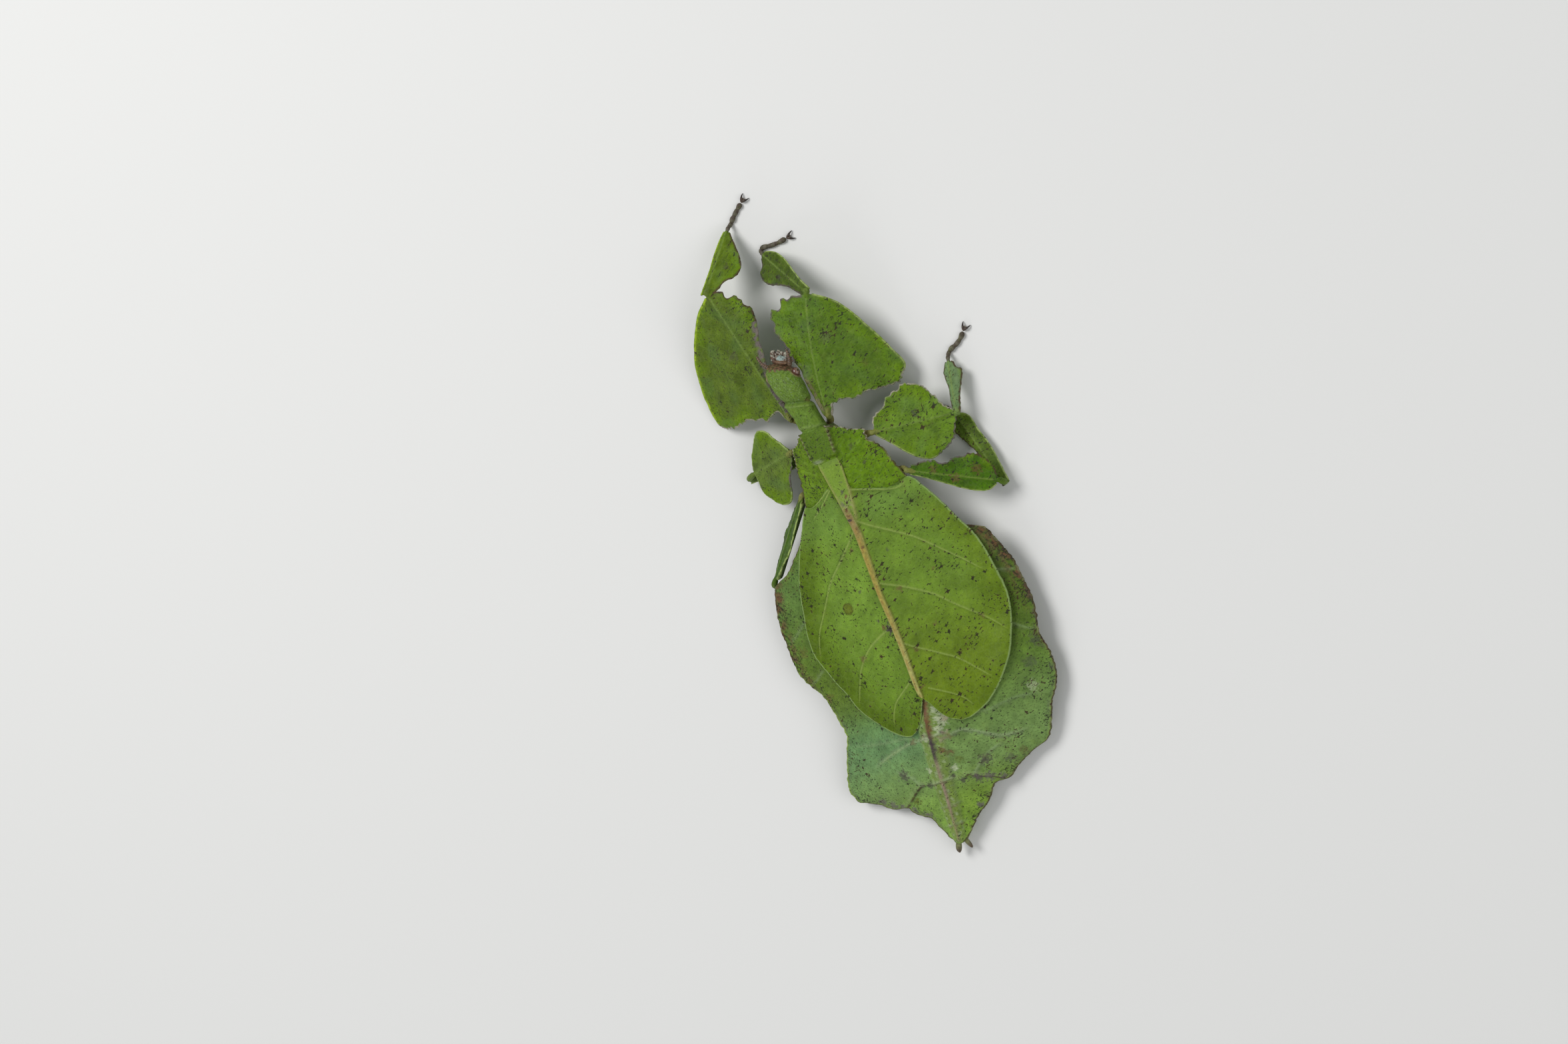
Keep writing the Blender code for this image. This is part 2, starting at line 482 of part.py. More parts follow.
def foot(leg, path):
    """Five joints that lie on the floor, flat underneath, and the pair of claws before them."""
    stations = []
    for (x, y), radius in zip(path, FOOT_RADII):
        stations.append(((x, y, FLOOR + radius - FOOT_SINK), radius))
    new_object("tarsus_" + leg, tube_mesh("tarsus", stations, 8, FLOOR), "limb_brown")
    tip = Vector((*path[-1], CLAW_HEIGHT))
    ahead = (tip - Vector((*path[-2], CLAW_HEIGHT))).normalized()
    root = tip + ahead * (GAP + CLAW_RADIUS)
    arms = []
    for sign in (-1, 1):
        turn = math.radians(CLAW_SPREAD) * sign
        way = Vector((ahead.x * math.cos(turn) - ahead.y * math.sin(turn),
                      ahead.x * math.sin(turn) + ahead.y * math.cos(turn), 0))
        middle = root + way * CLAW_LENGTH * 0.55 + Vector((0, 0, 0.2))
        point = root + way * CLAW_LENGTH - Vector((0, 0, 0.1))
        arms.append([(point, CLAW_RADIUS * 0.8), (middle, CLAW_RADIUS)])
    stations = arms[0] + [(root, CLAW_RADIUS)] + arms[1][::-1]
    new_object("claws_" + leg, tube_mesh("claws", stations, 6, FLOOR), "limb_brown")


def apply_boolean(body, tool, operation):
    modifier = body.modifiers.new(operation, "BOOLEAN")
    modifier.operation = operation
    modifier.object = tool
    evaluated = body.evaluated_get(bpy.context.evaluated_depsgraph_get())
    result = bpy.data.meshes.new_from_object(evaluated)
    body.modifiers.clear()
    body.data = result
    bpy.data.objects.remove(tool)


def ball_mesh(name, centre, radius, rows, sides):
    shape = bmesh.new()
    bmesh.ops.create_uvsphere(shape, u_segments=sides, v_segments=rows, radius=radius)
    bmesh.ops.translate(shape, verts=shape.verts, vec=centre)
    mesh = bpy.data.meshes.new(name)
    shape.to_mesh(mesh)
    shape.free()
    return mesh


def head():
    """The head capsule, with a socket round each eye."""
    capsule = rings("head", HEAD_RINGS, "leaf_green", HEAD_SIDES)
    for centre in EYES.values():
        socket = new_object("socket", ball_mesh("socket", centre, EYE_RADIUS + EYE_SINK, 8, 10), "eye")
        apply_boolean(capsule, socket, "DIFFERENCE")


def eyes():
    for side, centre in EYES.items():
        new_object("eye_" + side, ball_mesh("eye_" + side, centre, EYE_RADIUS, 8, 12), "eye")


def trunk():
    rings("prothorax", PROTHORAX_RINGS, "leaf_green", 14)
    body_slab("mesothorax", MESOTHORAX_RIBS, scutum)
    body_slab("metathorax", METATHORAX_RIBS)
    body_slab("abdomen_front", ABDOMEN_FRONT_RIBS)
    body_slab("abdomen_seventh", ABDOMEN_SEVENTH_RIBS)
    body_slab("abdomen_tip", ABDOMEN_TIP_RIBS)


def small_parts():
    rings("mouthparts", MOUTH_RINGS, "limb_brown", 10)
    for side in ("left", "right"):
        tube("antenna_" + side, ANTENNAE[side], "limb_brown", 6)
        tube("cercus_" + side, CERCI[side], "limb_brown", 6)


def legs():
    for leg in FEMORA:
        tube("coxa_" + leg, COXAE[leg], "limb_brown")
        lobed("femur_" + leg, **FEMORA[leg])
        lobed("tibia_" + leg, **TIBIAE[leg])
        foot(leg, FEET[leg])


def main():
    for obj in list(bpy.data.objects):
        bpy.data.objects.remove(obj)
    head()
    eyes()
    trunk()
    small_parts()
    forewing("forewing_right", RIGHT_WING_RIBS, RIGHT_WING_END, 1)
    forewing("forewing_left", LEFT_WING_RIBS, LEFT_WING_END, -1)
    legs()


main()
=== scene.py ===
import math

import bmesh
import bpy
import numpy as np
from mathutils import Matrix, Vector, kdtree


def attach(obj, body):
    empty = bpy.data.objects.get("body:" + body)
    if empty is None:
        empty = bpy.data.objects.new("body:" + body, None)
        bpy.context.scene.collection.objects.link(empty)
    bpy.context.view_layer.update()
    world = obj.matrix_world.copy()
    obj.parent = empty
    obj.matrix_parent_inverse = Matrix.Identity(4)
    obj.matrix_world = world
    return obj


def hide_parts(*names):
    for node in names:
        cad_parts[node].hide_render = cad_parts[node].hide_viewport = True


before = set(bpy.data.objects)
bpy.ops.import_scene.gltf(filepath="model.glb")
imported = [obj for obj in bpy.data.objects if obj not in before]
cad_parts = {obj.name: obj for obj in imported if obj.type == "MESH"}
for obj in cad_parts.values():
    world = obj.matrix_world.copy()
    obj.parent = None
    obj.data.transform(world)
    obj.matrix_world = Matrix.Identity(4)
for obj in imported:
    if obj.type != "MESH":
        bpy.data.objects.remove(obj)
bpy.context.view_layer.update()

MM = 0.001
FOOTPRINT_CENTRE = np.array([2.85, 7.45, 0.0])
FINE = 1.0
# The fourth number of a point's colour, by which points that a union adds are told apart
MARK = 0.5

# Colours, linear
PRONOTUM = (0.110, 0.190, 0.036)
HEAD_GREEN = (0.118, 0.198, 0.040)
SCUTUM = (0.076, 0.138, 0.019)
TRIANGLE = (0.175, 0.279, 0.055)
PALE_RIM = (0.30, 0.38, 0.13)
WING_RIM = (0.235, 0.335, 0.125)
# Yellow-green of a thin lobe's rim, partly its own colour and partly painted light shining through it
LOBE_RIM_YELLOW_AND_PAINTED_GLOW = (0.29, 0.42, 0.045)
WHITE_RIM = (0.36, 0.32, 0.26)
GREY_RIM = (0.125, 0.093, 0.100)
GREY_STRIP = (0.150, 0.116, 0.120)
BROWN_RIM = (0.070, 0.038, 0.022)
TAN = (0.335, 0.270, 0.060)
TAN_LIGHT = (0.39, 0.37, 0.115)
VEIN = (0.245, 0.325, 0.095)
RED_BROWN = (0.13, 0.055, 0.028)
PURPLE = (0.060, 0.042, 0.046)
PINK_BROWN = (0.28, 0.21, 0.15)
WHITISH = (0.40, 0.45, 0.28)
OLIVE = (0.105, 0.115, 0.018)
HIP = (0.235, 0.210, 0.060)
TAN_STRIP = (0.165, 0.142, 0.072)
FOOT_BROWN = (0.085, 0.066, 0.050)
SPECK_BROWN = (0.020, 0.017, 0.010)
SPECK_RED = (0.045, 0.018, 0.012)
SPECK_GREEN = (0.024, 0.027, 0.014)
PLATE_RIM = (0.25, 0.28, 0.12)
STRIP_GREEN = (0.165, 0.235, 0.060)
STRIP_RIM = (0.215, 0.290, 0.100)
TAIL_RIB = (0.25, 0.23, 0.10)
RUST = (0.17, 0.085, 0.035)
SEVENTH_PALE = (0.205, 0.285, 0.105)
FOLD_PALE = (0.26, 0.33, 0.17)
REAR_RIM = (0.21, 0.30, 0.08)
DRY_RIM = (0.19, 0.19, 0.09)
# Yellow-green of a thin rim, partly its own colour and partly painted light shining through it
RIM_YELLOW_AND_PAINTED_GLOW = (0.26, 0.37, 0.09)
UNDERSIDE = (0.14, 0.20, 0.06)
GRAIN_PALE = (0.180, 0.250, 0.115)
GRAIN_DARK = (0.055, 0.100, 0.022)
NECK_GROOVE = (0.085, 0.140, 0.045)
NECK_RIM = (0.185, 0.250, 0.090)
FACE_BROWN = (0.17, 0.078, 0.050)
FACE_DARK = (0.06, 0.028, 0.020)
EYE_RING = (0.22, 0.12, 0.075)
HEAD_SPOT = (0.05, 0.045, 0.03)
HEAD_UNDER = (0.13, 0.165, 0.055)
LOBE_YELLOW = (0.118, 0.214, 0.006)
LOBE_BLUISH = (0.072, 0.140, 0.045)
SHAFT_PALE = (0.152, 0.222, 0.060)
LOBE_UNDER = (0.13, 0.19, 0.05)
HIP_END = (0.15, 0.175, 0.045)
KNEE_PALE = (0.17, 0.21, 0.08)
FOOT_PALE = (0.13, 0.115, 0.085)
CLAW_ROOT = (0.070, 0.045, 0.030)
CLAW_TIP = (0.018, 0.010, 0.008)
FOOT_PAD = (0.16, 0.13, 0.095)
EDGE_GREEN = (0.105, 0.150, 0.048)
TIBIA_RIM = (0.085, 0.062, 0.058)
WING_FRONT = (0.135, 0.240, 0.060)
TAN_FRONT = (0.265, 0.185, 0.075)
RIB_CORE = (0.32, 0.165, 0.045)
RIB_SIDE = (0.30, 0.34, 0.12)
RIB_SHADOW = (0.17, 0.12, 0.035)
WING_SHADOW = (0.05, 0.07, 0.02)
DISC_RIM = (0.060, 0.062, 0.010)
FEELER = (0.16, 0.095, 0.055)
FEELER_RING = (0.055, 0.032, 0.020)
FEELER_ROOT = (0.22, 0.18, 0.10)
EYE_SIDE = (0.17, 0.085, 0.055)
EYE_FACE = (0.27, 0.17, 0.12)
EYE_RIM = (0.085, 0.030, 0.020)
EYE_STRIPE = (0.20, 0.10, 0.07)
EYE_SPOT = (0.018, 0.012, 0.010)
CLYPEUS_DARK = (0.15, 0.080, 0.042)
CLYPEUS_PALE = (0.26, 0.17, 0.10)
LIP_BLUE = (0.24, 0.33, 0.30)
LIP_PALE = (0.46, 0.50, 0.47)
LIP_ROOT = (0.42, 0.30, 0.26)
LIP_EDGE = (0.16, 0.10, 0.06)
JAW = (0.125, 0.060, 0.034)
JAW_TIP = (0.035, 0.016, 0.011)
PALP_JOINT = (0.10, 0.055, 0.035)
PALP_PALE = (0.40, 0.38, 0.30)
PALP_BLOTCH = (0.13, 0.075, 0.050)
LOW_PALP_ROOT = (0.20, 0.14, 0.09)
LOW_PALP_TIP = (0.40, 0.38, 0.29)
LUMP_DARK = (0.11, 0.058, 0.038)
LUMP_PALE = (0.37, 0.35, 0.29)
CERCUS_ROOT = (0.19, 0.20, 0.075)
CERCUS_TIP = (0.095, 0.062, 0.032)
YELLOW_PATCH = (0.17, 0.22, 0.03)
NET_PALE = (0.22, 0.30, 0.10)
PIT_GREEN = (0.030, 0.060, 0.010)

# The wings' greens at the front, the outer edge and the rear, by side
WING_GREENS = {1: ((0.135, 0.231, 0.040), (0.112, 0.178, 0.018), (0.128, 0.196, 0.020)),
               -1: ((0.150, 0.258, 0.048), (0.068, 0.116, 0.006), (0.128, 0.222, 0.036))}

# How many specks of each sort a skin has; for the winding marks, the least crowding that shows them
SKIN_MARKS = dict(large=0.30, small=0.42, winding=0.690, dust=0.55)
WING_MARKS = dict(large=0.95, small=0.26, winding=0.715, dust=0.22)

# The body along its length, as (y, value) pairs from the head back
MIDLINE = [
    (45, -5.9), (38, -4.5), (33, -3.1), (27, -1.6), (20, -0.8), (9, -0.1), (0, 0.2), (-20, 0.1),
    (-30, -0.4), (-38, -1.7), (-46, -3.4), (-52, -4.8), (-61, -6.9)]
CREST = [
    (28, 12.9), (20, 12.6), (9, 12.1), (0, 11.6), (-12, 11), (-30, 10.3), (-38, 9.7), (-46, 7.9),
    (-52, 5.9), (-58, 3.7), (-61, 2.8)]
PITCH = [(28, 0.30), (20, 0.30), (9, 0.29), (0, 0.27), (-38, 0.27), (-46, 0.25), (-50, 0.34), (-61, 0.40)]
BELLY = [
    (28, 7), (20, 6.3), (10, 4.3), (0, 1.7), (-8, -0.2), (-14, -1.2), (-30, -1.2), (-37, 0.3), (-44, 1.5),
    (-52, 1.7), (-61, 1.4)]
CORE_HALF_WIDTH = [(28, 4.2), (20, 5.2), (0, 7), (-20, 8), (-38, 6.6), (-52, 4.2), (-61, 2.4)]
CREST_ROUNDING = 2
RIB_BOW = 1.7
RIM_HALF = 0.17
LAMELLA_SWELL = 0.5

# The rims of the trunk, as (y where the rib leaves the midline, x, y)
LEFT_RIM = [
    (27, -4.6, 27.3), (26.2, -5.6, 26.6), (25.2, -6.6, 25.5), (24.2, -7.8, 25), (22.4, -8.4, 23.1),
    (20.6, -8.7, 21.2), (18.4, -8.9, 19.2), (15.8, -9.3, 17.2), (12.4, -10.2, 13.4), (8.6, -12, 9.8),
    (5.6, -14.7, 7), (3.2, -17.6, 4.5), (1.4, -19.8, 2.6), (0.2, -21.5, 1.7), (-1.2, -23.3, 1.2),
    (-2.4, -24.8, 0.5), (-3.6, -25.6, -0.6), (-5, -26.1, -2.4), (-6.8, -26.8, -4.6), (-8.8, -27.3, -7.2),
    (-10.8, -27.4, -9.8), (-12.6, -27.2, -11.6), (-14.4, -27.4, -13.6), (-17.6, -27.1, -17.2),
    (-19.6, -26.2, -19.4), (-22.4, -24.8, -21.4), (-24.4, -23.4, -23.5), (-26.6, -22.5, -26.2),
    (-30.4, -21.8, -29.8), (-33.4, -21.3, -32.6), (-35.2, -22, -34.4), (-38.4, -23.8, -38.1),
    (-41, -25.3, -41.4), (-42.6, -25.8, -43.4), (-43.8, -25.4, -45), (-44.5, -24.9, -46.2),
    (-45, -23.4, -46.8), (-45.7, -20.8, -48.1), (-46.2, -19.3, -49.4), (-46.6, -17.8, -50),
    (-47.2, -15, -50.3), (-48.4, -14, -51.6), (-50, -12.4, -52.8), (-52.4, -10.5, -53.9),
    (-55, -9.9, -55.6), (-57.4, -9, -57.7), (-59, -8.4, -59), (-60.4, -7.3, -60.3)]
RIGHT_RIM = [
    (27, 1.3, 27.3), (26.2, 2.2, 26.8), (25.2, 3.9, 26), (24.4, 5.4, 25), (23.6, 6.8, 24.5),
    (22.6, 8.1, 24), (21.2, 7.9, 22.2), (19.6, 9.2, 20.6), (18.2, 10.1, 19.2), (15.8, 10.7, 17),
    (14, 11.4, 15), (12.2, 12.3, 12.8), (9.2, 13.4, 9.8), (6, 15, 6.4), (2.6, 17, 2.6), (0, 19.4, -0.3),
    (-1.4, 21, -1.2), (-2.8, 22.6, -2.1), (-4.2, 23.5, -3.2), (-5.8, 24, -4.7), (-8.8, 25.1, -7.8),
    (-11.4, 25.8, -10.2), (-13.6, 26.1, -12.6), (-16.6, 26.3, -16), (-19.6, 26.5, -19.4),
    (-22.4, 26, -22.8), (-25.2, 25.4, -25.7), (-28.6, 25.9, -29.2), (-32, 25.8, -32.8),
    (-34.6, 25.1, -35.5), (-36.8, 23.8, -37.6), (-38.2, 22.8, -38.9), (-40.4, 21.9, -40.8),
    (-42.6, 20.6, -43.3), (-44.2, 19.6, -45), (-44.9, 18.2, -46.2), (-45.5, 16.4, -46.8),
    (-45.9, 14.3, -47.5), (-46.4, 11.9, -48.7), (-46.9, 9.9, -49.8), (-47.3, 8.6, -50.8),
    (-47.7, 7.4, -51), (-48.2, 5.6, -50.9), (-49, 4.6, -51.4), (-50.6, 3.8, -52.4), (-52.6, 2.5, -53.8),
    (-54, 1.2, -54.8), (-55, 0, -55.5), (-56.2, -1.3, -56.5), (-57.4, -2.5, -57.6), (-58.8, -3.8, -58.8),
    (-60.4, -5.9, -60.3)]
TRUNK_COLUMNS = 92

# The forewings' edges, as (station, x, y)
RIGHT_WING_INNER = [
    (21.8, -3.5, 21.3), (18.8, -3.1, 18.8), (15, -2.5, 15), (11.4, -1.8, 11.4), (9, -1.3, 9),
    (5, -0.9, 5), (0, -1, 0), (-8, -1.1, -8), (-14, -0.9, -14), (-20, -0.8, -20), (-26, -0.8, -26),
    (-29.4, -0.4, -29.4), (-30.8, 0.8, -31.2), (-32, 2.4, -34.2), (-32.6, 4, -36)]
RIGHT_WING_OUTER = [
    (21.8, 1, 21.3), (18.8, 1.6, 18.8), (15.8, 1.5, 16), (13.6, 1.9, 13.9), (12.6, 4.4, 12.9),
    (11.6, 8, 11.6), (10.8, 10.4, 11.2), (10, 12.4, 12.3), (9.2, 13.6, 11.6), (7.8, 14.9, 9.4),
    (5.6, 16.4, 6.6), (3, 17.8, 3.7), (0.8, 19.3, 0.7), (-1.6, 20.7, -2.1), (-5.8, 22.1, -7),
    (-10.4, 22.8, -12.1), (-15.2, 22.6, -17.3), (-19.6, 21.3, -22.5), (-23.6, 18.8, -27.9),
    (-26.2, 15.5, -31.9), (-28.2, 12.1, -34.7), (-29.8, 9.8, -35.9), (-31.4, 7.4, -36.7),
    (-32.6, 5.6, -36.7)]
LEFT_WING_INNER = [
    (15.6, -2, 15.6), (11.4, -1, 11.4), (9, -0.4, 9), (5, 0.3, 5), (0, 0.3, 0), (-8, 0.2, -8),
    (-20, 0.7, -20), (-26, 0.7, -26), (-29.4, 0.1, -29.4), (-31, -0.9, -31.4), (-32.4, -2.1, -33.8),
    (-33, -3.2, -35.2)]
LEFT_WING_OUTER = [
    (15.6, -2.9, 15.8), (14.2, -4.4, 14.9), (12.8, -6.6, 13.6), (11.6, -8.8, 12.9), (10.8, -10.1, 13.3),
    (9.8, -11.3, 12), (8, -12.7, 9.8), (5.6, -14.8, 6.6), (2.4, -16.8, 2.9), (-1, -18.4, -0.9),
    (-4, -19.4, -4.2), (-8.8, -20.7, -9.5), (-11, -21.1, -11.8), (-14.4, -21, -15), (-17, -20.3, -17.6),
    (-20, -19, -20.9), (-23, -17.2, -24.6), (-25.8, -15.5, -28.3), (-28, -12.2, -32.5),
    (-29.6, -9.7, -34.8), (-31, -7.7, -36.1), (-32.2, -5.9, -36.6), (-33, -4.4, -36.1)]
WING_GAP = 0.10
WING_THICKNESS = 0.36
WING_LIFT = 0.85
WING_LIFT_WIDTH = 4.2
WING_COLUMNS = 130

# The midrib and the side veins of the wings, as (width, height, points)
MIDRIB = [
    (-0.6, 10.2), (-0.1, 7.4), (0.1, 5.1), (0, 2.3), (-0.1, -2), (-0.3, -8.2), (0, -12.6), (0.1, -19.7),
    (0, -24), (-0.1, -29.6)]
MIDRIB_WIDTH = [(10, 0.85), (3, 0.85), (-12, 0.72), (-24, 0.60), (-30, 0.50)]
MIDRIB_HEIGHT = 0.34
LEFT_CORD = [(-4.3, 22.6), (-3, 18.8), (-2.4, 15.1), (-1.6, 11.4), (-0.6, 8.2)]
RIGHT_CORD = [(1.3, 22.6), (1.6, 18.7), (1.5, 15.9), (1.3, 13.2), (1.1, 9.1), (0.7, 6)]
FRONT_ZONE_EDGE = [(22.6, 1.3), (18.7, 1.6), (13.2, 1.4), (9, 1), (5, 0.7)]
RIGHT_VEINS = [
    (0.26, 0.20, [(1.6, 13.6), (4.5, 12.6), (8, 11.3), (10.4, 10.9), (12.2, 11.6)]),
    (0.27, 0.22, [(0.2, 8), (3.2, 5.4), (6.5, 3.1), (9.7, 0.8), (12.7, -2.1), (15.6, -5.2), (20.5, -10.3)]),
    (0.27, 0.22, [(0.6, -5.7), (4.9, -8.2), (9.3, -11.2), (12.2, -14.2), (16.7, -18.7), (20.8, -23)]),
    (0.25, 0.20, [(0.5, -18.3), (3.1, -20.4), (7.4, -23.4), (9.5, -25.1), (14.6, -30.8)]),
    (0.20, 0.12, [(2, -28.5), (6.9, -32), (8.8, -34.7)])]
LEFT_VEINS = [
    (0.20, 0.10, [(-2.6, 15.4), (-4.4, 14.5), (-6.6, 13.4), (-9, 12.8)]),
    (0.25, 0.18, [(-2.8, 14.9), (-4.4, 13.6), (-6.4, 12.2), (-9.1, 10.6)]),
    (0.27, 0.22, [(-0.3, 6), (-2.4, 4.3), (-7.4, 0.3), (-10.8, -2.3), (-13.3, -5.2), (-16, -8.7),
                  (-18.3, -12.3), (-19.9, -16.5)]),
    (0.27, 0.22, [(0.2, -13.2), (-1.7, -14.8), (-3.9, -15.6), (-6.9, -16.9), (-9.1, -18.4),
                  (-10.9, -20.1), (-12.6, -22.5), (-15, -27.6)]),
    (0.24, 0.18, [(0.3, -24), (-1, -25.9), (-3.8, -27.6), (-6.2, -29.1), (-7.6, -30.9), (-8.8, -33.6)])]

# Marks on the body: the rear midrib, the edge of the seventh segment and the folds before it
REAR_RIB = [
    (0, -27), (-0.4, -30.2), (-1.4, -35.5), (-2.3, -40.3), (-3.4, -45.9), (-4.6, -51.6), (-6.6, -59.6)]
REAR_RIB_WIDTH = 0.36
REAR_RIB_HEIGHT = 0.34
STRIP_HALF_WIDTH = [(-24, 3.2), (-34, 2.6), (-46, 2.1), (-54, 1.7), (-61, 1)]
STRIP_HEIGHT = 0.42
SEVENTH_EDGE = [
    (-15, -50.4), (-13.2, -49.4), (-10.5, -47.7), (-8.3, -46.8), (-6.3, -47.3), (-3.4, -47.4), (0, -48),
    (1.6, -47.5), (2.6, -48.3), (5.5, -49.6), (7.6, -51)]
SEVENTH_STEP = 0.48
FOLDS = [
    (0.5, 0.30, [(-3, -37.7), (-7.3, -38), (-10.2, -38.5), (-13.2, -39.2), (-18.3, -40.7)]),
    (0.5, 0.26, [(0.9, -38.9), (4.6, -38.5), (8.4, -40.7), (11.7, -42.4), (17.5, -42.6)]),
    (0.6, 0.10, [(4, -35), (10, -36.4), (17, -36), (23.8, -37.4)]),
    (0.6, 0.10, [(-6, -36.8), (-12, -36.4), (-18, -35.6), (-22, -34.3)]),
    (0.6, 0.12, [(20, -21), (23, -23.4), (25.6, -25)]),
    (0.6, 0.12, [(-21, -18.6), (-23.6, -20.2), (-25.4, -20.6)]),
    (0.5, 0.12, [(-20.6, -8), (-24, -10.2), (-27.2, -11.8)]),
    (0.5, 0.12, [(22.4, -11), (24.2, -11.6), (26, -12.2)]),
    (0.45, 0.14, [(-8.4, -47), (-10.4, -44.4), (-13.6, -42)]),
    (0.45, 0.14, [(3, -47.4), (6.8, -44.8), (11.4, -43.2)])]
CROSS_SEAMS = [-38.2, -47.4, -52.6, -56.6]

# Spots, as (x, y, radius, strength, colour)
OLIVE_DISC = (-9.2, -8.5)
WING_SPOTS = [
    (-1.3, -14.9, 1, 0.95, PURPLE), (-2.6, -14.3, 0.6, 0.8, RED_BROWN), (-3.4, -12.8, 0.4, 0.8, PURPLE),
    (-10.1, -18.9, 0.7, 0.6, RED_BROWN), (3.6, -8.1, 0.7, 0.55, RED_BROWN),
    (2.4, -20.4, 0.6, 0.5, RED_BROWN), (16.4, -18.6, 0.6, 0.5, RED_BROWN),
    (-0.4, 10, 0.50, 0.9, RED_BROWN), (-0.4, 8, 0.55, 0.9, PURPLE), (-0.2, 8.7, 0.4, 0.7, RED_BROWN),
    (-3.1, 2.3, 0.5, 0.7, RED_BROWN), (0.15, 2.1, 0.35, 0.8, RED_BROWN), (0.2, 12.6, 0.4, 0.9, RED_BROWN),
    (0.5, 6.2, 0.40, 0.7, RED_BROWN), (-5, -6, 0.5, 0.6, PURPLE), (11, -6.5, 0.4, 0.5, RED_BROWN),
    (4.2, 0, 0.4, 0.5, PURPLE), (7.6, -17, 0.5, 0.5, RED_BROWN), (-0.2, 13.7, 0.5, 0.8, PURPLE),
    (-1, 11.4, 0.6, 0.4, PURPLE), (0.2, 15.6, 0.35, 0.5, PURPLE), (1, -27.8, 0.5, 0.5, RED_BROWN)]
BODY_SPOTS = [
    (-11.6, -43.7, 1.35, 0.75, PURPLE), (6, -45.7, 1.45, 0.75, PURPLE), (3, -48.9, 1.2, 0.6, PURPLE),
    (1.6, -35, 1.6, 1, WHITISH), (0.4, -36.8, 1, 0.9, WHITISH), (1.2, -32.8, 0.9, 0.9, WHITISH),
    (-5.4, -44.5, 0.6, 0.7, WHITISH), (-0.1, -45.2, 0.7, 0.7, WHITISH), (-19.6, -47.6, 1, 0.7, GREY_RIM),
    (-17.8, -49, 1.2, 0.75, GREY_RIM), (-15.8, -50, 1, 0.75, GREY_RIM),
    (-13.4, -51.2, 0.9, 0.75, GREY_RIM), (-11.2, -53, 1, 0.7, GREY_RIM),
    (2.9, -48.3, 0.9, 0.75, GREY_RIM), (5, -49.2, 1.1, 0.75, GREY_RIM), (7.4, -50.3, 1, 0.75, GREY_RIM),
    (0.4, -54.1, 0.8, 0.6, GREY_RIM), (-24.9, -1.6, 1.4, 0.75, RED_BROWN), (-26, -4, 1, 0.7, RED_BROWN),
    (23, -4.4, 1.2, 0.7, RED_BROWN), (21.8, -2.6, 1, 0.7, RED_BROWN), (25.4, -9.4, 0.9, 0.6, RED_BROWN),
    (26, -14, 0.8, 0.5, RED_BROWN), (26.2, -22.4, 0.8, 0.6, PURPLE), (24.4, -26.6, 1.6, 0.5, PURPLE),
    (21.6, -30.4, 1.5, 0.4, PURPLE), (25.2, -32.6, 0.7, 0.6, PURPLE), (20.4, -35, 1.1, 0.5, WHITISH),
    (-2.1, -39, 0.8, 0.95, PURPLE), (-2.4, -40.6, 0.7, 0.95, PURPLE), (2.2, -35.3, 0.8, 0.6, PINK_BROWN),
    (0.5, -37.6, 0.35, 0.8, PURPLE), (1.1, -38, 0.6, 0.6, PINK_BROWN), (0.2, -39, 0.8, 0.5, PINK_BROWN),
    (-3.4, -37.2, 0.5, 0.6, PINK_BROWN), (-2.9, -38.1, 0.6, 0.7, WHITISH),
    (-0.6, -41.2, 0.6, 0.7, RED_BROWN), (0.8, -42.2, 0.5, 0.6, RED_BROWN), (1.3, -44, 0.9, 0.4, OLIVE),
    (-0.3, -45.4, 0.7, 0.7, WHITISH), (-5.3, -44.2, 0.7, 0.7, WHITISH), (-1.1, -46.7, 0.5, 0.8, PURPLE),
    (-12, -49.5, 0.9, 0.5, OLIVE), (-10.4, -53.2, 0.9, 0.6, GREY_RIM), (0.6, -54.3, 0.8, 0.6, GREY_RIM),
    (-24, -14, 1.3, 0.35, RED_BROWN), (-25, -19.6, 1, 0.5, RED_BROWN), (-22, -24.2, 0.9, 0.45, RED_BROWN),
    (-21.2, -31, 0.8, 0.35, PURPLE), (10.6, -47.2, 1.3, 0.55, PURPLE), (13.6, -46.6, 1, 0.4, RED_BROWN),
    (-6.2, -37.8, 0.8, 0.5, RED_BROWN), (-1, -41.1, 0.7, 0.6, RED_BROWN),
    (0.1, -41.9, 0.7, 0.5, RED_BROWN), (-11.6, -49.6, 0.9, 0.5, OLIVE), (1.6, -38.8, 0.8, 0.5, RED_BROWN),
    (0.1, -48.3, 0.8, 0.75, PURPLE), (-6.8, -47.2, 0.8, 0.7, PURPLE), (5.8, 17.8, 0.5, 0.6, PURPLE),
    (4.4, 21.6, 0.6, 0.5, PURPLE), (5.9, 13.9, 0.6, 0.5, PURPLE)]

# Thick clusters of specks, as (x, y, radius)
SPECK_HERDS = [
    (12.8, -39.4, 1), (13.9, -43.6, 1.3), (11.6, -44.8, 1.2), (9.2, -42.1, 0.8), (-19.5, -41.9, 0.9),
    (-18.6, -44.3, 1.1), (20, -34.2, 1.1), (22.2, -36.5, 1.1)]

# The plate on the mesothorax between its two rows of tubercles
SCUTUM_LEFT = [(-4.5, 27.7), (-4.35, 24.8), (-4.1, 21.6)]
SCUTUM_RIGHT = [(1.6, 27.5), (1.5, 24.6), (1.4, 21.8)]
SCUTUM_HEIGHT = 0.8
SCUTUM_SLOPE = 0.5
TUBERCLES = 6
TUBERCLE_HEIGHT = 0.42
TUBERCLE_RADIUS = 0.24
SCUTELLUM = (-2.9, 20.9)

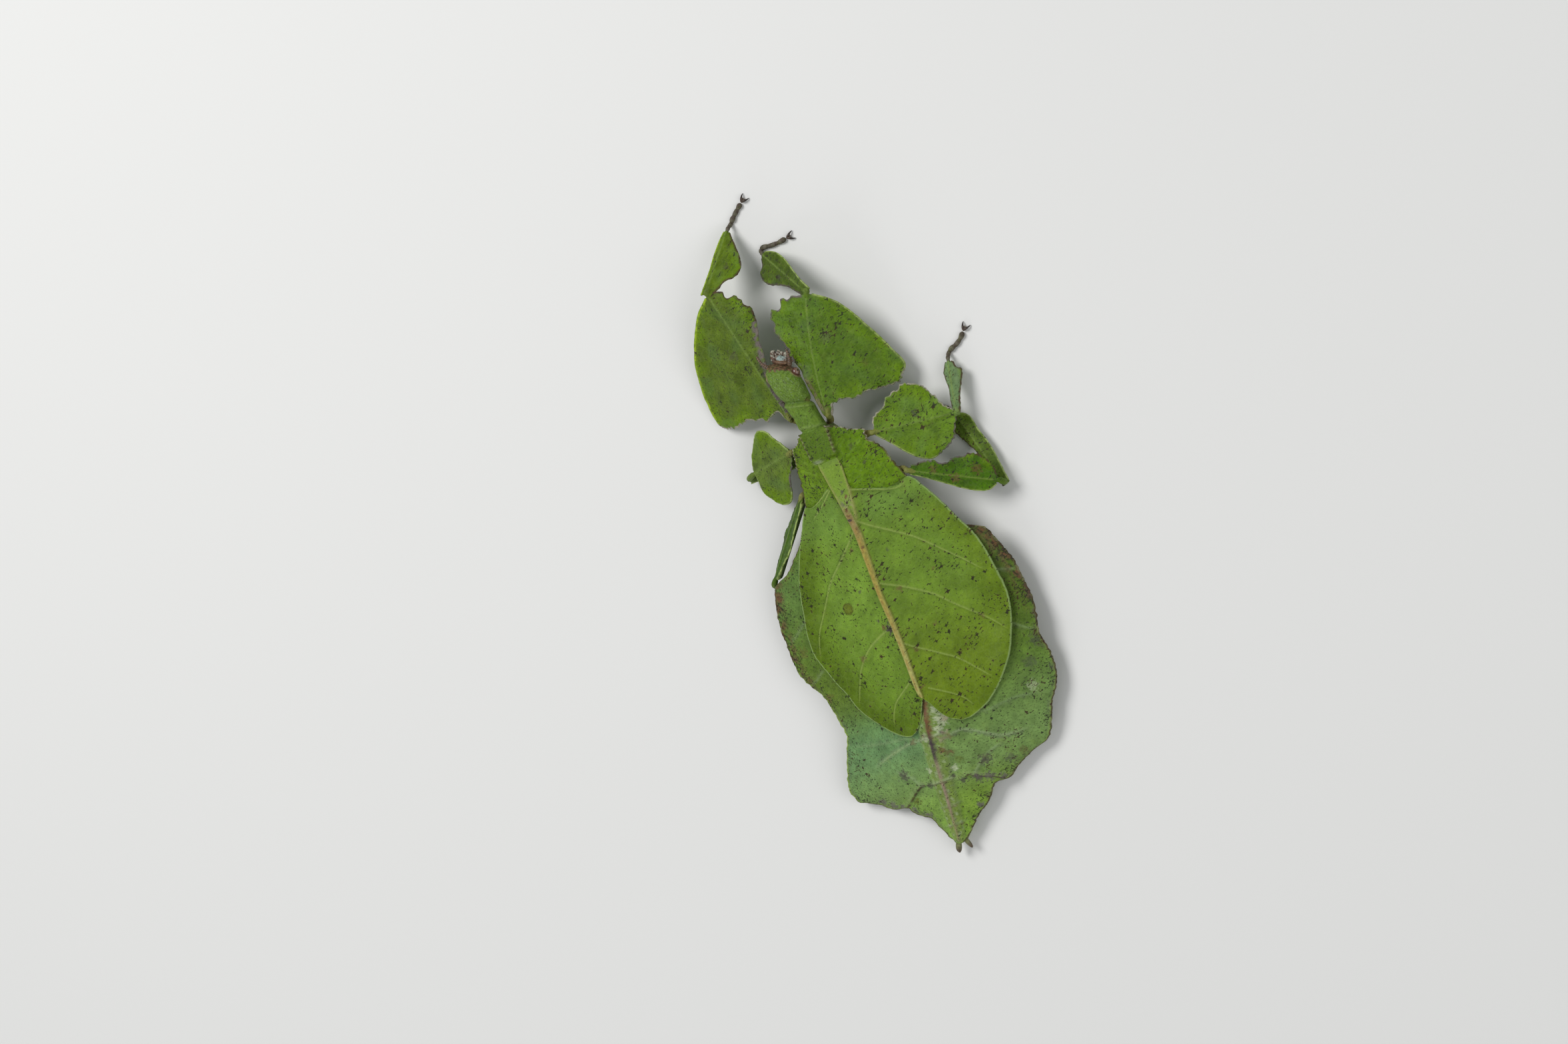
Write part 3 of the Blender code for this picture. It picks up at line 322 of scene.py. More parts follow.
# Head and prothorax: (y, half width, height above the centre, depth below it, height of the
# centre) and the line of their middle, with how much each ring is turned
NECK_LINE = [(46, -5.6), (41, -4.7), (37, -4), (33.5, -3.3), (30, -2.5), (25, -1.4)]
TURN = [(46, 0.40), (41, 0.38), (36, 0.30), (33.5, 0.26), (30, 0.17), (25, 0.05)]
CAPSULE = [
    (25.6, 2.30, 2.30, 2.2, 10.4), (27, 2.60, 2.60, 2.5, 10.4), (28.2, 2.62, 2.72, 2.6, 10.4),
    (30.2, 2.55, 2.66, 2.7, 10.4), (32, 2.75, 2.62, 2.6, 10.4), (32.9, 2.86, 2.60, 2.4, 10.4),
    (33.3, 2.62, 2.30, 2.1, 10.4), (33.6, 2.40, 2.10, 1.9, 10.4), (34, 2.72, 2.36, 2.1, 10.4),
    (34.8, 3.02, 2.70, 2.5, 10.5), (36.2, 3.22, 2.95, 2.8, 10.6), (37.8, 3.34, 2.95, 2.9, 10.5),
    (39.2, 3.22, 2.78, 2.8, 10.3), (40.2, 3.00, 2.50, 2.6, 10.1), (40.9, 2.74, 2.15, 2.4, 9.9),
    (41.4, 2.36, 1.70, 2.1, 9.75), (41.75, 1.80, 1.20, 1.6, 9.6), (42, 0.90, 0.60, 0.8, 9.5)]
HEAD_TABLE = CAPSULE[::-1]
SQUARENESS = 2.5
HEAD_START = 33.6
EYES = {
    "right": ((-1.48, 39.3, 10.75), (0.84, 0.22, 0.50)),
    "left": ((-7.45, 39.8, 10.7), (-0.90, 0.30, 0.32))}
EYE_RADIUS = 0.80
EYE_SIZE = (0.80, 0.92, 0.74)
ANTENNAE = {
    "right": [
        (-2.3, 40.7, 10.8), (-1.9, 41.5, 11.2), (-1.6, 42.4, 11.4), (-1.5, 43.3, 11.4), (-1.6, 44.2, 11.3)],
    "left": [(-6.6, 41.6, 10.7), (-7.2, 42.3, 11), (-7.7, 43.1, 11.2), (-8, 43.9, 11.2), (-8.3, 44.9, 11)]}
ANTENNA_RADII = [0.50, 0.46, 0.31, 0.27, 0.20]
ANTENNA_JOINTS = 9
CERCI = {
    "right": [(-6, -59.3, 2.3), (-5.6, -60.4, 2.3), (-5.3, -61.2, 2.2), (-5.05, -62, 2.1)],
    "left": [(-7.2, -59.4, 2.3), (-7.6, -60.6, 2.3), (-7.9, -61.4, 2.2), (-8.05, -62.2, 2.1)]}
CERCUS_RADII = {"right": [0.42, 0.48, 0.42, 0.20], "left": [0.46, 0.62, 0.58, 0.26]}

# Legs, as in the solids: each lobed length has a start, an end and the edges of its two lobes
# as (distance along, distance out); "fall" is how steeply each lobe droops, in degrees
FORE_KNEE_RIGHT = (6.2, 53.3, 10)
FORE_KNEE_LEFT = (-14.2, 60.3, 10)
MID_KNEE_RIGHT = (25.2, 20.7, 4.5)
MID_KNEE_LEFT = (-21.9, 23.1, 3.6)
HIND_KNEE_RIGHT = (29, 5.2, 4.4)
HIND_KNEE_LEFT = (-25.2, 1.3, 3.6)
LEVEL = (0, 0, 1)
ON_EDGE = (-0.62, 0.48, 0.62)
FEMORA = {
    "fore_right": dict(
        start=(1.7, 28.9, 10.5), end=FORE_KNEE_RIGHT, fall=(20, 5), radius=0.95, up=LEVEL,
        right=[(-0.2, 0.7), (2.4, 1.8), (2.4, 5.2), (3.2, 9.4), (4.3, 14.6), (7.2, 16.4), (10.2, 14.9),
               (13.4, 12.7), (16.7, 10.3), (20.2, 7.4), (22.8, 4.4), (24.3, 1.2)],
        left=[(-0.2, 0.9), (3.5, 2.35), (6.5, 3.35), (9.6, 4.3), (12, 5.75), (14.8, 6.7), (17.6, 8.5),
              (19.6, 9.4), (21.8, 9.1), (23.4, 7.4), (24.6, 4.8), (24.3, 1.2)]),
    "fore_left": dict(
        start=(-7.1, 30.9, 8.8), end=FORE_KNEE_LEFT, fall=(5, 20), radius=0.95, up=LEVEL,
        right=[(-0.2, 0.7), (4.5, 0.9), (8, 1.2), (11.5, 2.1), (15, 3.3), (18.4, 4.7), (19.6, 5.2),
               (21.4, 5.8), (23.4, 6), (26.2, 4.8), (28.4, 3.4), (29.7, 1.2)],
        left=[(-0.2, 0.8), (2.5, 2.2), (2.4, 5.8), (4.8, 9.6), (5.7, 14.6), (7.4, 18), (11.2, 18.2),
              (16.2, 16.6), (20.8, 14), (24.8, 10), (28, 5.8), (29.7, 1.3)]),
    "mid_right": dict(
        start=(8.9, 22.7, 9.3), end=MID_KNEE_RIGHT, fall=(0, 0), radius=0.90, up=LEVEL,
        right=[(0.3, 0.7), (1.2, 1.4), (3.2, 3.1), (5.3, 5.2), (7.8, 7), (10.2, 7.8), (12.4, 7),
               (14.5, 5.7), (16, 3.5), (16.8, 1)],
        left=[(0.3, 0.8), (0.6, 2.6), (2.6, 4.4), (4.8, 6.5), (7, 7.7), (9.4, 7.8), (11.6, 6.7),
              (13.6, 4.2), (15.2, 1.9), (16.6, 0.8)]),
    "mid_left": dict(
        start=(-9.1, 24.6, 9.6), end=MID_KNEE_LEFT, fall=(0, 0), radius=0.90, up=LEVEL,
        right=[(0.3, 0.8), (1.4, 2.4), (2.8, 4.2), (4.2, 6), (6.2, 7.2), (8.2, 6.6), (10, 4.9),
               (11.4, 3.2), (12.4, 1.8), (13, 0.8)],
        left=[(0.3, 0.8), (1.6, 2.4), (3.4, 4.6), (5.2, 7), (7.2, 8.6), (9.4, 8.3), (11.2, 7),
              (12.4, 5.2), (13, 3), (13, 0.9)]),
    "hind_right": dict(
        start=(13.1, 13.3, 9.3), end=HIND_KNEE_RIGHT, fall=(0, 0), radius=0.90, up=LEVEL,
        right=[(0.3, 0.8), (2.4, 1), (5, 1.4), (8, 1.9), (11, 2.4), (14, 2.6), (16.4, 2.2), (17.8, 0.9)],
        left=[(0.3, 1), (2.4, 2.1), (5, 2.5), (8, 3.2), (11, 4.6), (13.6, 4.6), (16.2, 3.2), (17.8, 0.9)]),
    "hind_left": dict(
        start=(-10.5, 15.7, 8.9), end=HIND_KNEE_LEFT, fall=(0, 0), radius=0.80, up=ON_EDGE,
        right=[(0.3, 0.8), (3, 1.7), (6, 2.5), (9.2, 2.9), (12.6, 2.9), (15.6, 2.3), (18.2, 1.5),
               (20.2, 0.8)],
        left=[(0.3, 0.8), (3, 1.6), (6, 2.2), (9.2, 2.6), (12.6, 2.5), (15.6, 1.9), (18.2, 1.2),
              (20.2, 0.8)])}
TIBIAE = {
    "fore_right": dict(
        start=FORE_KNEE_RIGHT, end=(-3.7, 64.2, 1.7), fall=(0, 0), radius=0.75, up=LEVEL,
        right=[(-0.5, 1.1), (3, 1.2), (6, 1.7), (8.4, 2.2), (10.8, 2.5), (13.2, 2.2), (15.2, 1.4),
               (16.4, 0.6)],
        left=[(-0.5, 1.1), (3.2, 1.5), (6.2, 2), (8.6, 3.1), (11.2, 4.2), (13.6, 4), (15.2, 2),
              (16.4, 0.6)]),
    "fore_left": dict(
        start=FORE_KNEE_LEFT, end=(-8.7, 71.4, 1.7), fall=(0, 0), radius=0.75, up=LEVEL,
        right=[(-0.6, 1.2), (2, 2.6), (4.2, 4.8), (6.6, 5.4), (8.8, 4.5), (11, 3), (12.8, 1.6),
               (14.2, 0.6)],
        left=[(-0.6, 1.2), (2.6, 1.1), (5.4, 1), (7.6, 1.1), (9.8, 1.1), (11.6, 1), (13, 0.8), (14.2, 0.6)]),
    "mid_right": dict(
        start=MID_KNEE_RIGHT, end=(26.2, 31.6, 1.5), fall=(0, 0), radius=0.60, up=LEVEL,
        right=[(0, 0.8), (2.4, 1.1), (4.8, 1.8), (6.8, 2.4), (8.4, 2.5), (9.6, 1.5), (10.6, 0.6)],
        left=[(0, 0.8), (2.4, 0.9), (4.8, 0.9), (6.8, 1.2), (8.4, 1.4), (9.6, 1.1), (10.6, 0.6)]),
    "mid_left": dict(
        start=(-23, 22.4, 2.2), end=(-11.4, 23, 1.1), fall=(0, 0), radius=0.55, up=LEVEL,
        right=[(-0.3, 0.8), (2.2, 0.9), (4.4, 1.2), (6.6, 1.4), (8.6, 1.5), (10.2, 1.2), (11.3, 0.6)],
        left=[(-0.3, 0.8), (2.2, 1.3), (4.4, 1.8), (6.6, 2.3), (8.6, 2.3), (10.2, 1.4), (11.3, 0.6)]),
    "hind_right": dict(
        start=(28.7, 4.6, 2.1), end=(23.4, 20.8, 1.2), fall=(0, 0), radius=0.60, up=LEVEL,
        right=[(-0.5, 0.9), (2.6, 1.4), (5.8, 2), (8.8, 2.2), (11.6, 2.1), (14.2, 2.3), (15.8, 1.6),
               (16.6, 0.7)],
        left=[(-0.5, 0.9), (2.6, 0.9), (5.8, 1), (8.8, 1.3), (11.6, 1.9), (14.2, 2.3), (15.8, 1.6),
              (16.6, 0.7)]),
    "hind_left": dict(
        start=(-25.6, 0.3, 2.7), end=(-15.8, -11.6, 1.1), fall=(0, 0), radius=0.55, up=LEVEL,
        right=[(-0.3, 0.8), (2.6, 1.2), (5.2, 1.6), (8, 1.9), (10.6, 1.9), (13, 1.3), (15, 0.6)],
        left=[(-0.3, 0.8), (2.6, 0.9), (5.2, 1.2), (8, 1.4), (10.6, 1.4), (13, 1), (15, 0.6)])}
# The hips' stops from the body outwards, and the feet's stops on the floor
COXAE = {
    "fore_right": [(0.1, 28, 6.8), (0.6, 28.2, 7.7), (1.2, 28.6, 8.8)],
    "fore_left": [(-5.9, 30.1, 7.2), (-6.5, 30.4, 7.9), (-7, 30.7, 8.4)],
    "mid_right": [(6, 23, 8.2), (7.2, 22.9, 8.9), (8.4, 22.8, 9.2)],
    "mid_left": [(-6.3, 24.4, 8.4), (-7.4, 24.5, 9.1), (-8.6, 24.6, 9.4)],
    "hind_right": [(10.6, 14, 7.3), (11.6, 13.9, 7.7), (12.4, 13.6, 8.3)],
    "hind_left": [(-8.6, 16.3, 7.7), (-9.3, 16.2, 8.1), (-9.9, 16, 8.4)]}
FEET = {
    "fore_right": [(-4.2, 64.8), (-3.4, 65.2), (-1.6, 65), (0.2, 65), (1.9, 65.2)],
    "fore_left": [(-8.4, 72), (-7.7, 72.7), (-6.7, 73.6), (-5.7, 74.4), (-4.7, 75.1)],
    "mid_right": [(26.3, 32.3), (27.2, 32.9), (28.5, 33.4), (29.7, 34.2), (30.7, 35.2)],
    "mid_left": [(-10.7, 23.1), (-9.4, 23.4), (-7.8, 23.8), (-6.2, 24.2), (-4.6, 24.7)],
    "hind_right": [(22.8, 21.3), (21.8, 22.2), (20.4, 23.2), (18.9, 24), (17.3, 24.7)],
    "hind_left": [(-15.3, -12.2), (-14.6, -13.5), (-13.8, -15.1), (-13.2, -16.8), (-12.9, -18.6)]}
FOOT_RADII = [0.45, 0.55, 0.50, 0.50, 0.62]
FOOT_SINK = 0.12
CLAW_LENGTH = 1.6
CLAW_SPREAD = 34
CLAW_RADII = [0.24, 0.26, 0.19, 0.11, 0.04]
CLAW_PAD = (0.36, 0.46, 0.26)
CLAW_HEIGHT = 0.45
LOBE_HALF = 0.16
SHAFT_RISE = 0.26

# The edges of the lobes, as stretches of (from, to, rim colour, rim width, tooth depth, pitch)
LOBE_EDGES = {
    "femur_fore_right": (
        [(0, 0.44, WHITE_RIM, 0.22, 0.46, 1.25), (0.44, 1, PALE_RIM, 0.30, 0, 1)],
        [
            (0, 0.26, TAN_STRIP, 0.95, 0, 1), (0.26, 0.36, EDGE_GREEN, 0.90, 0, 1),
            (0.36, 1, GREY_RIM, 0.36, 0.30, 2.1)]),
    "femur_fore_left": (
        [(0, 0.64, GREY_STRIP, 1.10, 0.12, 2.6), (0.64, 1, BROWN_RIM, 0.30, 0.26, 2.3)],
        # From 0.42 on, the left edge's rim is partly its own yellow-green and partly painted light shining
        # through the lobe
        [(0, 0.42, WHITE_RIM, 0.24, 0.46, 1.3), (0.42, 1, LOBE_RIM_YELLOW_AND_PAINTED_GLOW, 0.60, 0, 1)]),
    "femur_mid_right": (
        [(0, 0.62, PALE_RIM, 0.28, 0, 1), (0.62, 1, GREY_RIM, 0.26, 0.36, 0.9)],
        [(0, 1, WHITE_RIM, 0.22, 0.40, 0.9)]),
    "femur_mid_left": (
        [(0, 1, PALE_RIM, 0.28, 0.14, 1.6)],
        [(0, 0.35, GREY_RIM, 0.28, 0.34, 1.3), (0.35, 1, PALE_RIM, 0.26, 0, 1)]),
    "femur_hind_right": (
        [(0, 1, PALE_RIM, 0.22, 0, 1)],
        [(0, 0.60, GREY_RIM, 0.26, 0.28, 1.2), (0.60, 1, BROWN_RIM, 0.24, 0.35, 1.1)]),
    "femur_hind_left": ([(0, 1, BROWN_RIM, 0.26, 0.30, 1.1)], [(0, 1, PALE_RIM, 0.24, 0, 1)]),
    "tibia_fore_right": ([(0, 1, PALE_RIM, 0.20, 0, 1)], [(0, 1, TIBIA_RIM, 0.36, 0.10, 1.8)]),
    "tibia_fore_left": (
        [(0, 0.45, BROWN_RIM, 0.32, 0.20, 1.5), (0.45, 1, BROWN_RIM, 0.28, 0.05, 1)],
        # The left edge's rim is partly its own yellow-green and partly painted light shining through the lobe
        [(0, 1, LOBE_RIM_YELLOW_AND_PAINTED_GLOW, 0.32, 0, 1)]),
    "tibia_mid_right": ([(0, 1, BROWN_RIM, 0.26, 0.20, 1)], [(0, 1, BROWN_RIM, 0.22, 0.10, 1.1)]),
    "tibia_mid_left": ([(0, 1, PALE_RIM, 0.20, 0, 1)], [(0, 1, GREY_RIM, 0.20, 0.15, 1.1)]),
    "tibia_hind_right": ([(0, 1, PALE_RIM, 0.22, 0.06, 1.2)], [(0, 1, BROWN_RIM, 0.24, 0.22, 1)]),
    "tibia_hind_left": ([(0, 1, PALE_RIM, 0.20, 0, 1)], [(0, 1, GREY_RIM, 0.20, 0.15, 1.1)])}

# Where the edges look eaten away, as (share of the way along, half length, depth)
BITES = {
    "femur_fore_right": (
        [(0.225, 1.5, 0.45), (0.10, 0.7, 0.15)], [(0.66, 1.1, 1), (0.80, 1.4, 1.3), (0.90, 0.9, 0.7)]),
    "femur_fore_left": (
        [(0.90, 1.2, 1.2), (0.77, 1, 0.6), (0.52, 1.6, 0.2)], [(0.16, 1, 0.6), (0.06, 0.7, 0.5)]),
    "femur_mid_right": ([], [(0.42, 0.9, 0.5)]),
    "femur_hind_right": ([], [(0.35, 1.6, 0.6), (0.55, 0.8, 0.5)]),
    "tibia_fore_left": ([(0.22, 1.4, 0.25)], []),
    "tibia_mid_right": ([(0.84, 0.8, 0.4)], [])}
SHAFT_BOW = {"femur_fore_right": -1}
CLUSTERS = {"femur_fore_right": (15.4, 3), "femur_fore_left": (13, -2.4), "femur_mid_right": (9.4, -1.6)}
CLUSTER_RADIUS = 1.3
LEG_GREENS = {
    "femur_fore_right": (0.085, 0.160, 0.020), "femur_fore_left": (0.086, 0.134, 0.021),
    "femur_mid_right": (0.114, 0.205, 0.029), "femur_mid_left": (0.100, 0.155, 0.032),
    "femur_hind_right": (0.050, 0.124, 0.004), "femur_hind_left": (0.036, 0.088, 0.004),
    "tibia_fore_right": (0.058, 0.097, 0.012), "tibia_fore_left": (0.098, 0.158, 0.016),
    "tibia_mid_right": (0.138, 0.222, 0.086), "tibia_mid_left": (0.110, 0.180, 0.040),
    "tibia_hind_right": (0.090, 0.150, 0.025), "tibia_hind_left": (0.110, 0.180, 0.040)}
LEG_SPOTS = {
    "femur_fore_right": [(15.4, 2.2, 1.5, 0.45, PURPLE), (9, 9, 0.8, 0.25, RED_BROWN)],
    "femur_fore_left": [(17, -3.6, 1.3, 0.40, PURPLE)],
    "femur_mid_right": [(9, -1.8, 0.8, 0.60, PURPLE)],
    "femur_hind_right": [
        (5, -0.8, 0.9, 0.55, RED_BROWN), (9.5, 0.6, 1.1, 0.60, RED_BROWN),
        (13.5, -1.8, 1.2, 0.60, RED_BROWN)],
    "tibia_fore_right": [(9, -1.4, 0.7, 0.55, PURPLE)],
    "tibia_fore_left": [(6.4, 2.4, 0.9, 0.45, PURPLE)]}

# The greens of the back along its length, on both sides of the midline, as (y, colour)
LEFT_GREENS = [
    (28, (0.112, 0.192, 0.018)), (12, (0.108, 0.194, 0.022)), (0, (0.104, 0.186, 0.050)),
    (-14, (0.102, 0.176, 0.038)), (-26, (0.104, 0.170, 0.036)), (-36, (0.126, 0.242, 0.092)),
    (-46, (0.166, 0.274, 0.088)), (-52, (0.180, 0.302, 0.074)), (-61, (0.225, 0.390, 0.095))]
RIGHT_GREENS = [
    (28, (0.098, 0.188, 0.010)), (12, (0.108, 0.202, 0.012)), (0, (0.074, 0.116, 0.026)),
    (-14, (0.074, 0.124, 0.022)), (-26, (0.088, 0.156, 0.030)), (-36, (0.134, 0.224, 0.066)),
    (-46, (0.162, 0.262, 0.082)), (-52, (0.176, 0.290, 0.060)), (-61, (0.205, 0.360, 0.070))]


# Numbers and curves
def profile(table, at, column=1):
    """The smooth curve through a table's rows, whose first numbers run downwards."""
    knots = np.array([row[0] for row in table], float)
    values = np.array([row[column] for row in table], float)
    count = len(knots)
    before = np.maximum(np.arange(count) - 1, 0)
    after = np.minimum(np.arange(count) + 1, count - 1)
    slopes = (values[after] - values[before]) / (knots[after] - knots[before])
    at = np.clip(np.asarray(at, float), knots[-1], knots[0])
    i = np.clip(np.searchsorted(-knots, -at, side="right") - 1, 0, count - 2)
    span = knots[i + 1] - knots[i]
    t = (at - knots[i]) / span
    return (values[i] * (2 * t**3 - 3 * t**2 + 1) + slopes[i] * span * (t**3 - 2 * t**2 + t)
            + values[i + 1] * (3 * t**2 - 2 * t**3) + slopes[i + 1] * span * (t**3 - t**2))


def smooth_line(points, pieces=8):
    """A line's points, with more between them on the curve that runs through them."""
    points = np.asarray(points, float)
    padded = np.vstack([2 * points[0] - points[1], points, 2 * points[-1] - points[-2]])
    t = np.linspace(0, 1, pieces, endpoint=False)[:, None]
    curve = []
    for a, b, c, d in zip(padded, padded[1:], padded[2:], padded[3:]):
        curve.append(0.5 * (2 * b + (c - a) * t + (2 * a - 5 * b + 4 * c - d) * t**2
                            + (3 * b - a - 3 * c + d) * t**3))
    return np.vstack(curve + [points[-1:]])


def along_line(line, count=None, spacing=None):
    """Evenly spaced points on a line."""
    steps = np.linalg.norm(np.diff(line, axis=0), axis=1)
    total = np.concatenate([[0], np.cumsum(steps)])
    count = count or max(3, int(total[-1] / spacing) + 1)
    at = np.linspace(0, total[-1], count)
    return np.stack([np.interp(at, total, line[:, k]) for k in range(line.shape[1])], -1)


def near(x, y, points):
    """Distance to a curve through these points, the share of the way along it, and the side."""
    line = smooth_line(points, 6)
    steps = np.diff(line, axis=0)
    lengths = np.hypot(*steps.T)
    total = lengths.sum()
    best = np.full(np.shape(x), 1e9)
    along = np.zeros(np.shape(x))
    side = np.zeros(np.shape(x))
    done = 0.0
    for (ax, ay), (dx, dy), length in zip(line, steps, lengths):
        t = np.clip(((x - ax) * dx + (y - ay) * dy) / length**2, 0, 1)
        distance = np.hypot(x - ax - t * dx, y - ay - t * dy)
        closer = distance < best
        best = np.where(closer, distance, best)
        along = np.where(closer, (done + t * length) / total, along)
        side = np.where(closer, np.sign(dx * (y - ay) - dy * (x - ax)), side)
        done += length
    return best, along, side


def beside(x, y, line_x, line_y):
    """Distance to a line, and where along it (in its own steps) the nearest place lies."""
    best = np.full(x.shape, 1e9)
    place = np.zeros(x.shape)
    for k in range(len(line_x) - 1):
        dx = line_x[k + 1] - line_x[k]
        dy = line_y[k + 1] - line_y[k]
        t = np.clip(((x - line_x[k]) * dx + (y - line_y[k]) * dy) / (dx * dx + dy * dy + 1e-12), 0, 1)
        distance = (x - line_x[k] - t * dx) ** 2 + (y - line_y[k] - t * dy) ** 2
        closer = distance < best
        best = np.where(closer, distance, best)
        place = np.where(closer, k + t, place)
    return np.sqrt(best), place


def waves(points, size, seed, count=16):
    """Smooth random heights, mostly between -1 and 1, with lumps of this size."""
    draw = np.random.default_rng(seed)
    ways = draw.normal(size=(count, points.shape[-1]))
    ways *= math.tau / size * draw.uniform(0.6, 1.5, (count, 1)) / np.linalg.norm(ways, axis=1, keepdims=True)
    return np.sin(points @ ways.T + draw.uniform(0, math.tau, count)).sum(-1) / math.sqrt(count)


def step(value, low, high):
    """A smooth rise from 0 to 1 between two values, which may run downwards."""
    t = np.clip((value - low) / (high - low), 0, 1)
    return t * t * (3 - 2 * t)


def mix(first, second, share):
    """The first value or colour turned into the second by this share."""
    share = np.asarray(share)[..., None]
    return np.asarray(first) * (1 - share) + np.asarray(second) * share


def bell(distance, width):
    """1 at no distance, and near 0 beyond twice the width."""
    return np.exp(-(distance / width) ** 2)


# Meshes
def grid_faces(rows, columns, first=0, around=False):
    """Triangles over a grid of points; around joins its last column to its first."""
    i, j = np.meshgrid(np.arange(rows - 1), np.arange(columns if around else columns - 1), indexing="ij")
    a = (i * columns + j).ravel()
    b = (i * columns + (j + 1) % columns).ravel()
    c = a + columns
    d = b + columns
    return np.vstack([np.stack([a, b, d], -1), np.stack([a, d, c], -1)]) + first


def shell(top, bottom):
    """A closed sheet between two grids of points."""
    rows, columns = top.shape[:2]
    count = rows * columns
    faces = [grid_faces(rows, columns), grid_faces(rows, columns, count)[:, ::-1]]
    edge = np.concatenate([np.arange(columns), np.arange(1, rows) * columns + columns - 1,
                           (rows - 1) * columns + np.arange(columns - 2, -1, -1),
                           np.arange(rows - 2, 0, -1) * columns])
    nxt = np.roll(edge, -1)
    faces += [np.stack([edge, edge + count, nxt + count], -1), np.stack([edge, nxt + count, nxt], -1)]
    return outward(np.vstack([top.reshape(-1, 3), bottom.reshape(-1, 3)]), np.vstack(faces))


def loft(rings):
    """A closed body through rings of points, its ends closed by points at their middles."""
    rows, sides = rings.shape[:2]
    points = np.vstack([rings.reshape(-1, 3), rings[0].mean(0)[None], rings[-1].mean(0)[None]])
    k = np.arange(sides)
    nxt = (k + 1) % sides
    low = rows * sides
    high = (rows - 1) * sides
    faces = [grid_faces(rows, sides, around=True), np.stack([nxt, k, np.full(sides, low)], -1),
             np.stack([high + k, high + nxt, np.full(sides, low + 1)], -1)]
    return outward(points, np.vstack(faces))


def outward(points, faces):
    """The faces, turned over where they look inwards."""
    a, b, c = (points[faces[:, k]] for k in range(3))
    if np.einsum("ij,ij->i", a, np.cross(b, c)).sum() < 0:
        faces = faces[:, ::-1]
    return points, faces


def join(parts):
    """One body list from several (points, faces, tints, specks)."""
    points, faces, tints, specks = [], [], [], []
    first = 0
    for p, f, tint, speck in parts:
        points.append(p)
        faces.append(f + first)
        tints.append(np.broadcast_to(np.asarray(tint, float), p.shape))
        specks.append(np.broadcast_to(np.asarray(speck, float), len(p)))
        first += len(p)
    return np.vstack(points), np.vstack(faces), np.vstack(tints), np.concatenate(specks)


def richer(tint):
    """Yellow-greens keep less blue, since the gloss gives some back."""
    green = step(tint[:, 1] - np.maximum(tint[:, 0], tint[:, 2]), 0.0, 0.02)
    cut = green * np.clip(0.80 - 2.1 * tint[:, 2] / tint[:, 1], 0, 0.75)
    return tint * np.stack([np.ones_like(cut), np.ones_like(cut), 1 - cut], -1)


def new_object(name, points, faces, tint, speck):
    """A smooth object in metres with its colours on its points."""
    mesh = bpy.data.meshes.new(name)
    mesh.vertices.add(len(points))
    mesh.vertices.foreach_set("co", ((points - FOOTPRINT_CENTRE) * MM).astype(np.float32).ravel())
    mesh.loops.add(len(faces) * 3)
    mesh.loops.foreach_set("vertex_index", faces.astype(np.int32).ravel())
    mesh.polygons.add(len(faces))
    mesh.polygons.foreach_set("loop_start", np.arange(0, len(faces) * 3, 3, dtype=np.int32))
    mesh.update(calc_edges=True)
    colours = np.full((len(points), 4), MARK, np.float32)
    colours[:, :3] = richer(np.broadcast_to(np.asarray(tint, float), (len(points), 3)))
    mesh.attributes.new("tint", "FLOAT_COLOR", "POINT").data.foreach_set("color", colours.ravel())
    density = np.broadcast_to(np.asarray(speck, float), len(points)).astype(np.float32)
    mesh.attributes.new("speck", "FLOAT", "POINT").data.foreach_set("value", density)
    mesh.shade_smooth()
    obj = bpy.data.objects.new(name, mesh)
    bpy.context.scene.collection.objects.link(obj)
    return obj


# Heights of the body
def back(x, y):
    """The back: a rounded crest on the midline that falls to both sides, in slow waves."""
    away = np.abs(x - profile(MIDLINE, y))
    fall = np.hypot(away, CREST_ROUNDING) - CREST_ROUNDING
    flat = profile(CREST, y) - profile(PITCH, y) * fall
    here = np.stack([x, y], -1)
    slack = step(away, 3, 18) * step(y, 14, 4)
    return flat + slack * (0.26 * waves(here, 17, 3) + 0.10 * waves(here, 7, 4))


def belly(x, y, share):
    """The underside: thin flanges beside a rounded core, flat where it lies on the floor."""
    away = np.abs(x - profile(MIDLINE, y))
    core = profile(CORE_HALF_WIDTH, y)
    roundness = np.clip(1 - (away / core) ** 2, 0, 1) ** 0.6
    deep = profile(CREST, y) - profile(BELLY, y)
    flange = 2 * RIM_HALF + LAMELLA_SWELL * (1 - share)
    groove = sum(bell(y - seam, 0.35) for seam in (16, 9, 1, -8, -17, -26, -35, -44))
    low = back(x, y) - flange - (deep - flange) * roundness + 0.18 * groove * roundness
    return np.maximum(low, 0)


def rim_taper(distance, reach=0.28):
    """How much of its thickness a sheet keeps at this distance from its edge."""
    t = np.clip(1 - distance / reach, 0, 1)
    return np.sqrt(np.maximum(1 - t * t, 0)) * 0.94 + 0.06


def stations(rails, spacing):
    """Row values so that no rail moves further than the spacing (a function) from row to row."""
    dense = np.linspace(rails[0][0][0], rails[0][-1][0], 6000)
    cost = np.abs(np.diff(dense))
    for rail in rails:
        x = profile(rail, dense, 1)
        y = profile(rail, dense, 2)
        cost = np.maximum(cost, np.hypot(np.diff(x), np.diff(y)))
    total = np.concatenate([[0], np.cumsum(cost / (spacing(dense[1:]) * FINE))])
    return np.interp(np.arange(int(total[-1]) + 1) * total[-1] / int(total[-1]), total, dense)


def teeth(distance, pitch, seed):
    """Uneven pointed teeth along an edge: 0 in the notches, 1 at the points."""
    place = np.stack([distance, distance * 0], -1)
    t = distance / pitch + 0.35 * waves(place, pitch * 4, seed)
    saw = 1 - np.abs(2 * (t % 1) - 1) ** 0.7
    return saw * np.clip(0.65 + 0.5 * waves(place, pitch * 3, seed + 1), 0.1, 1.2)


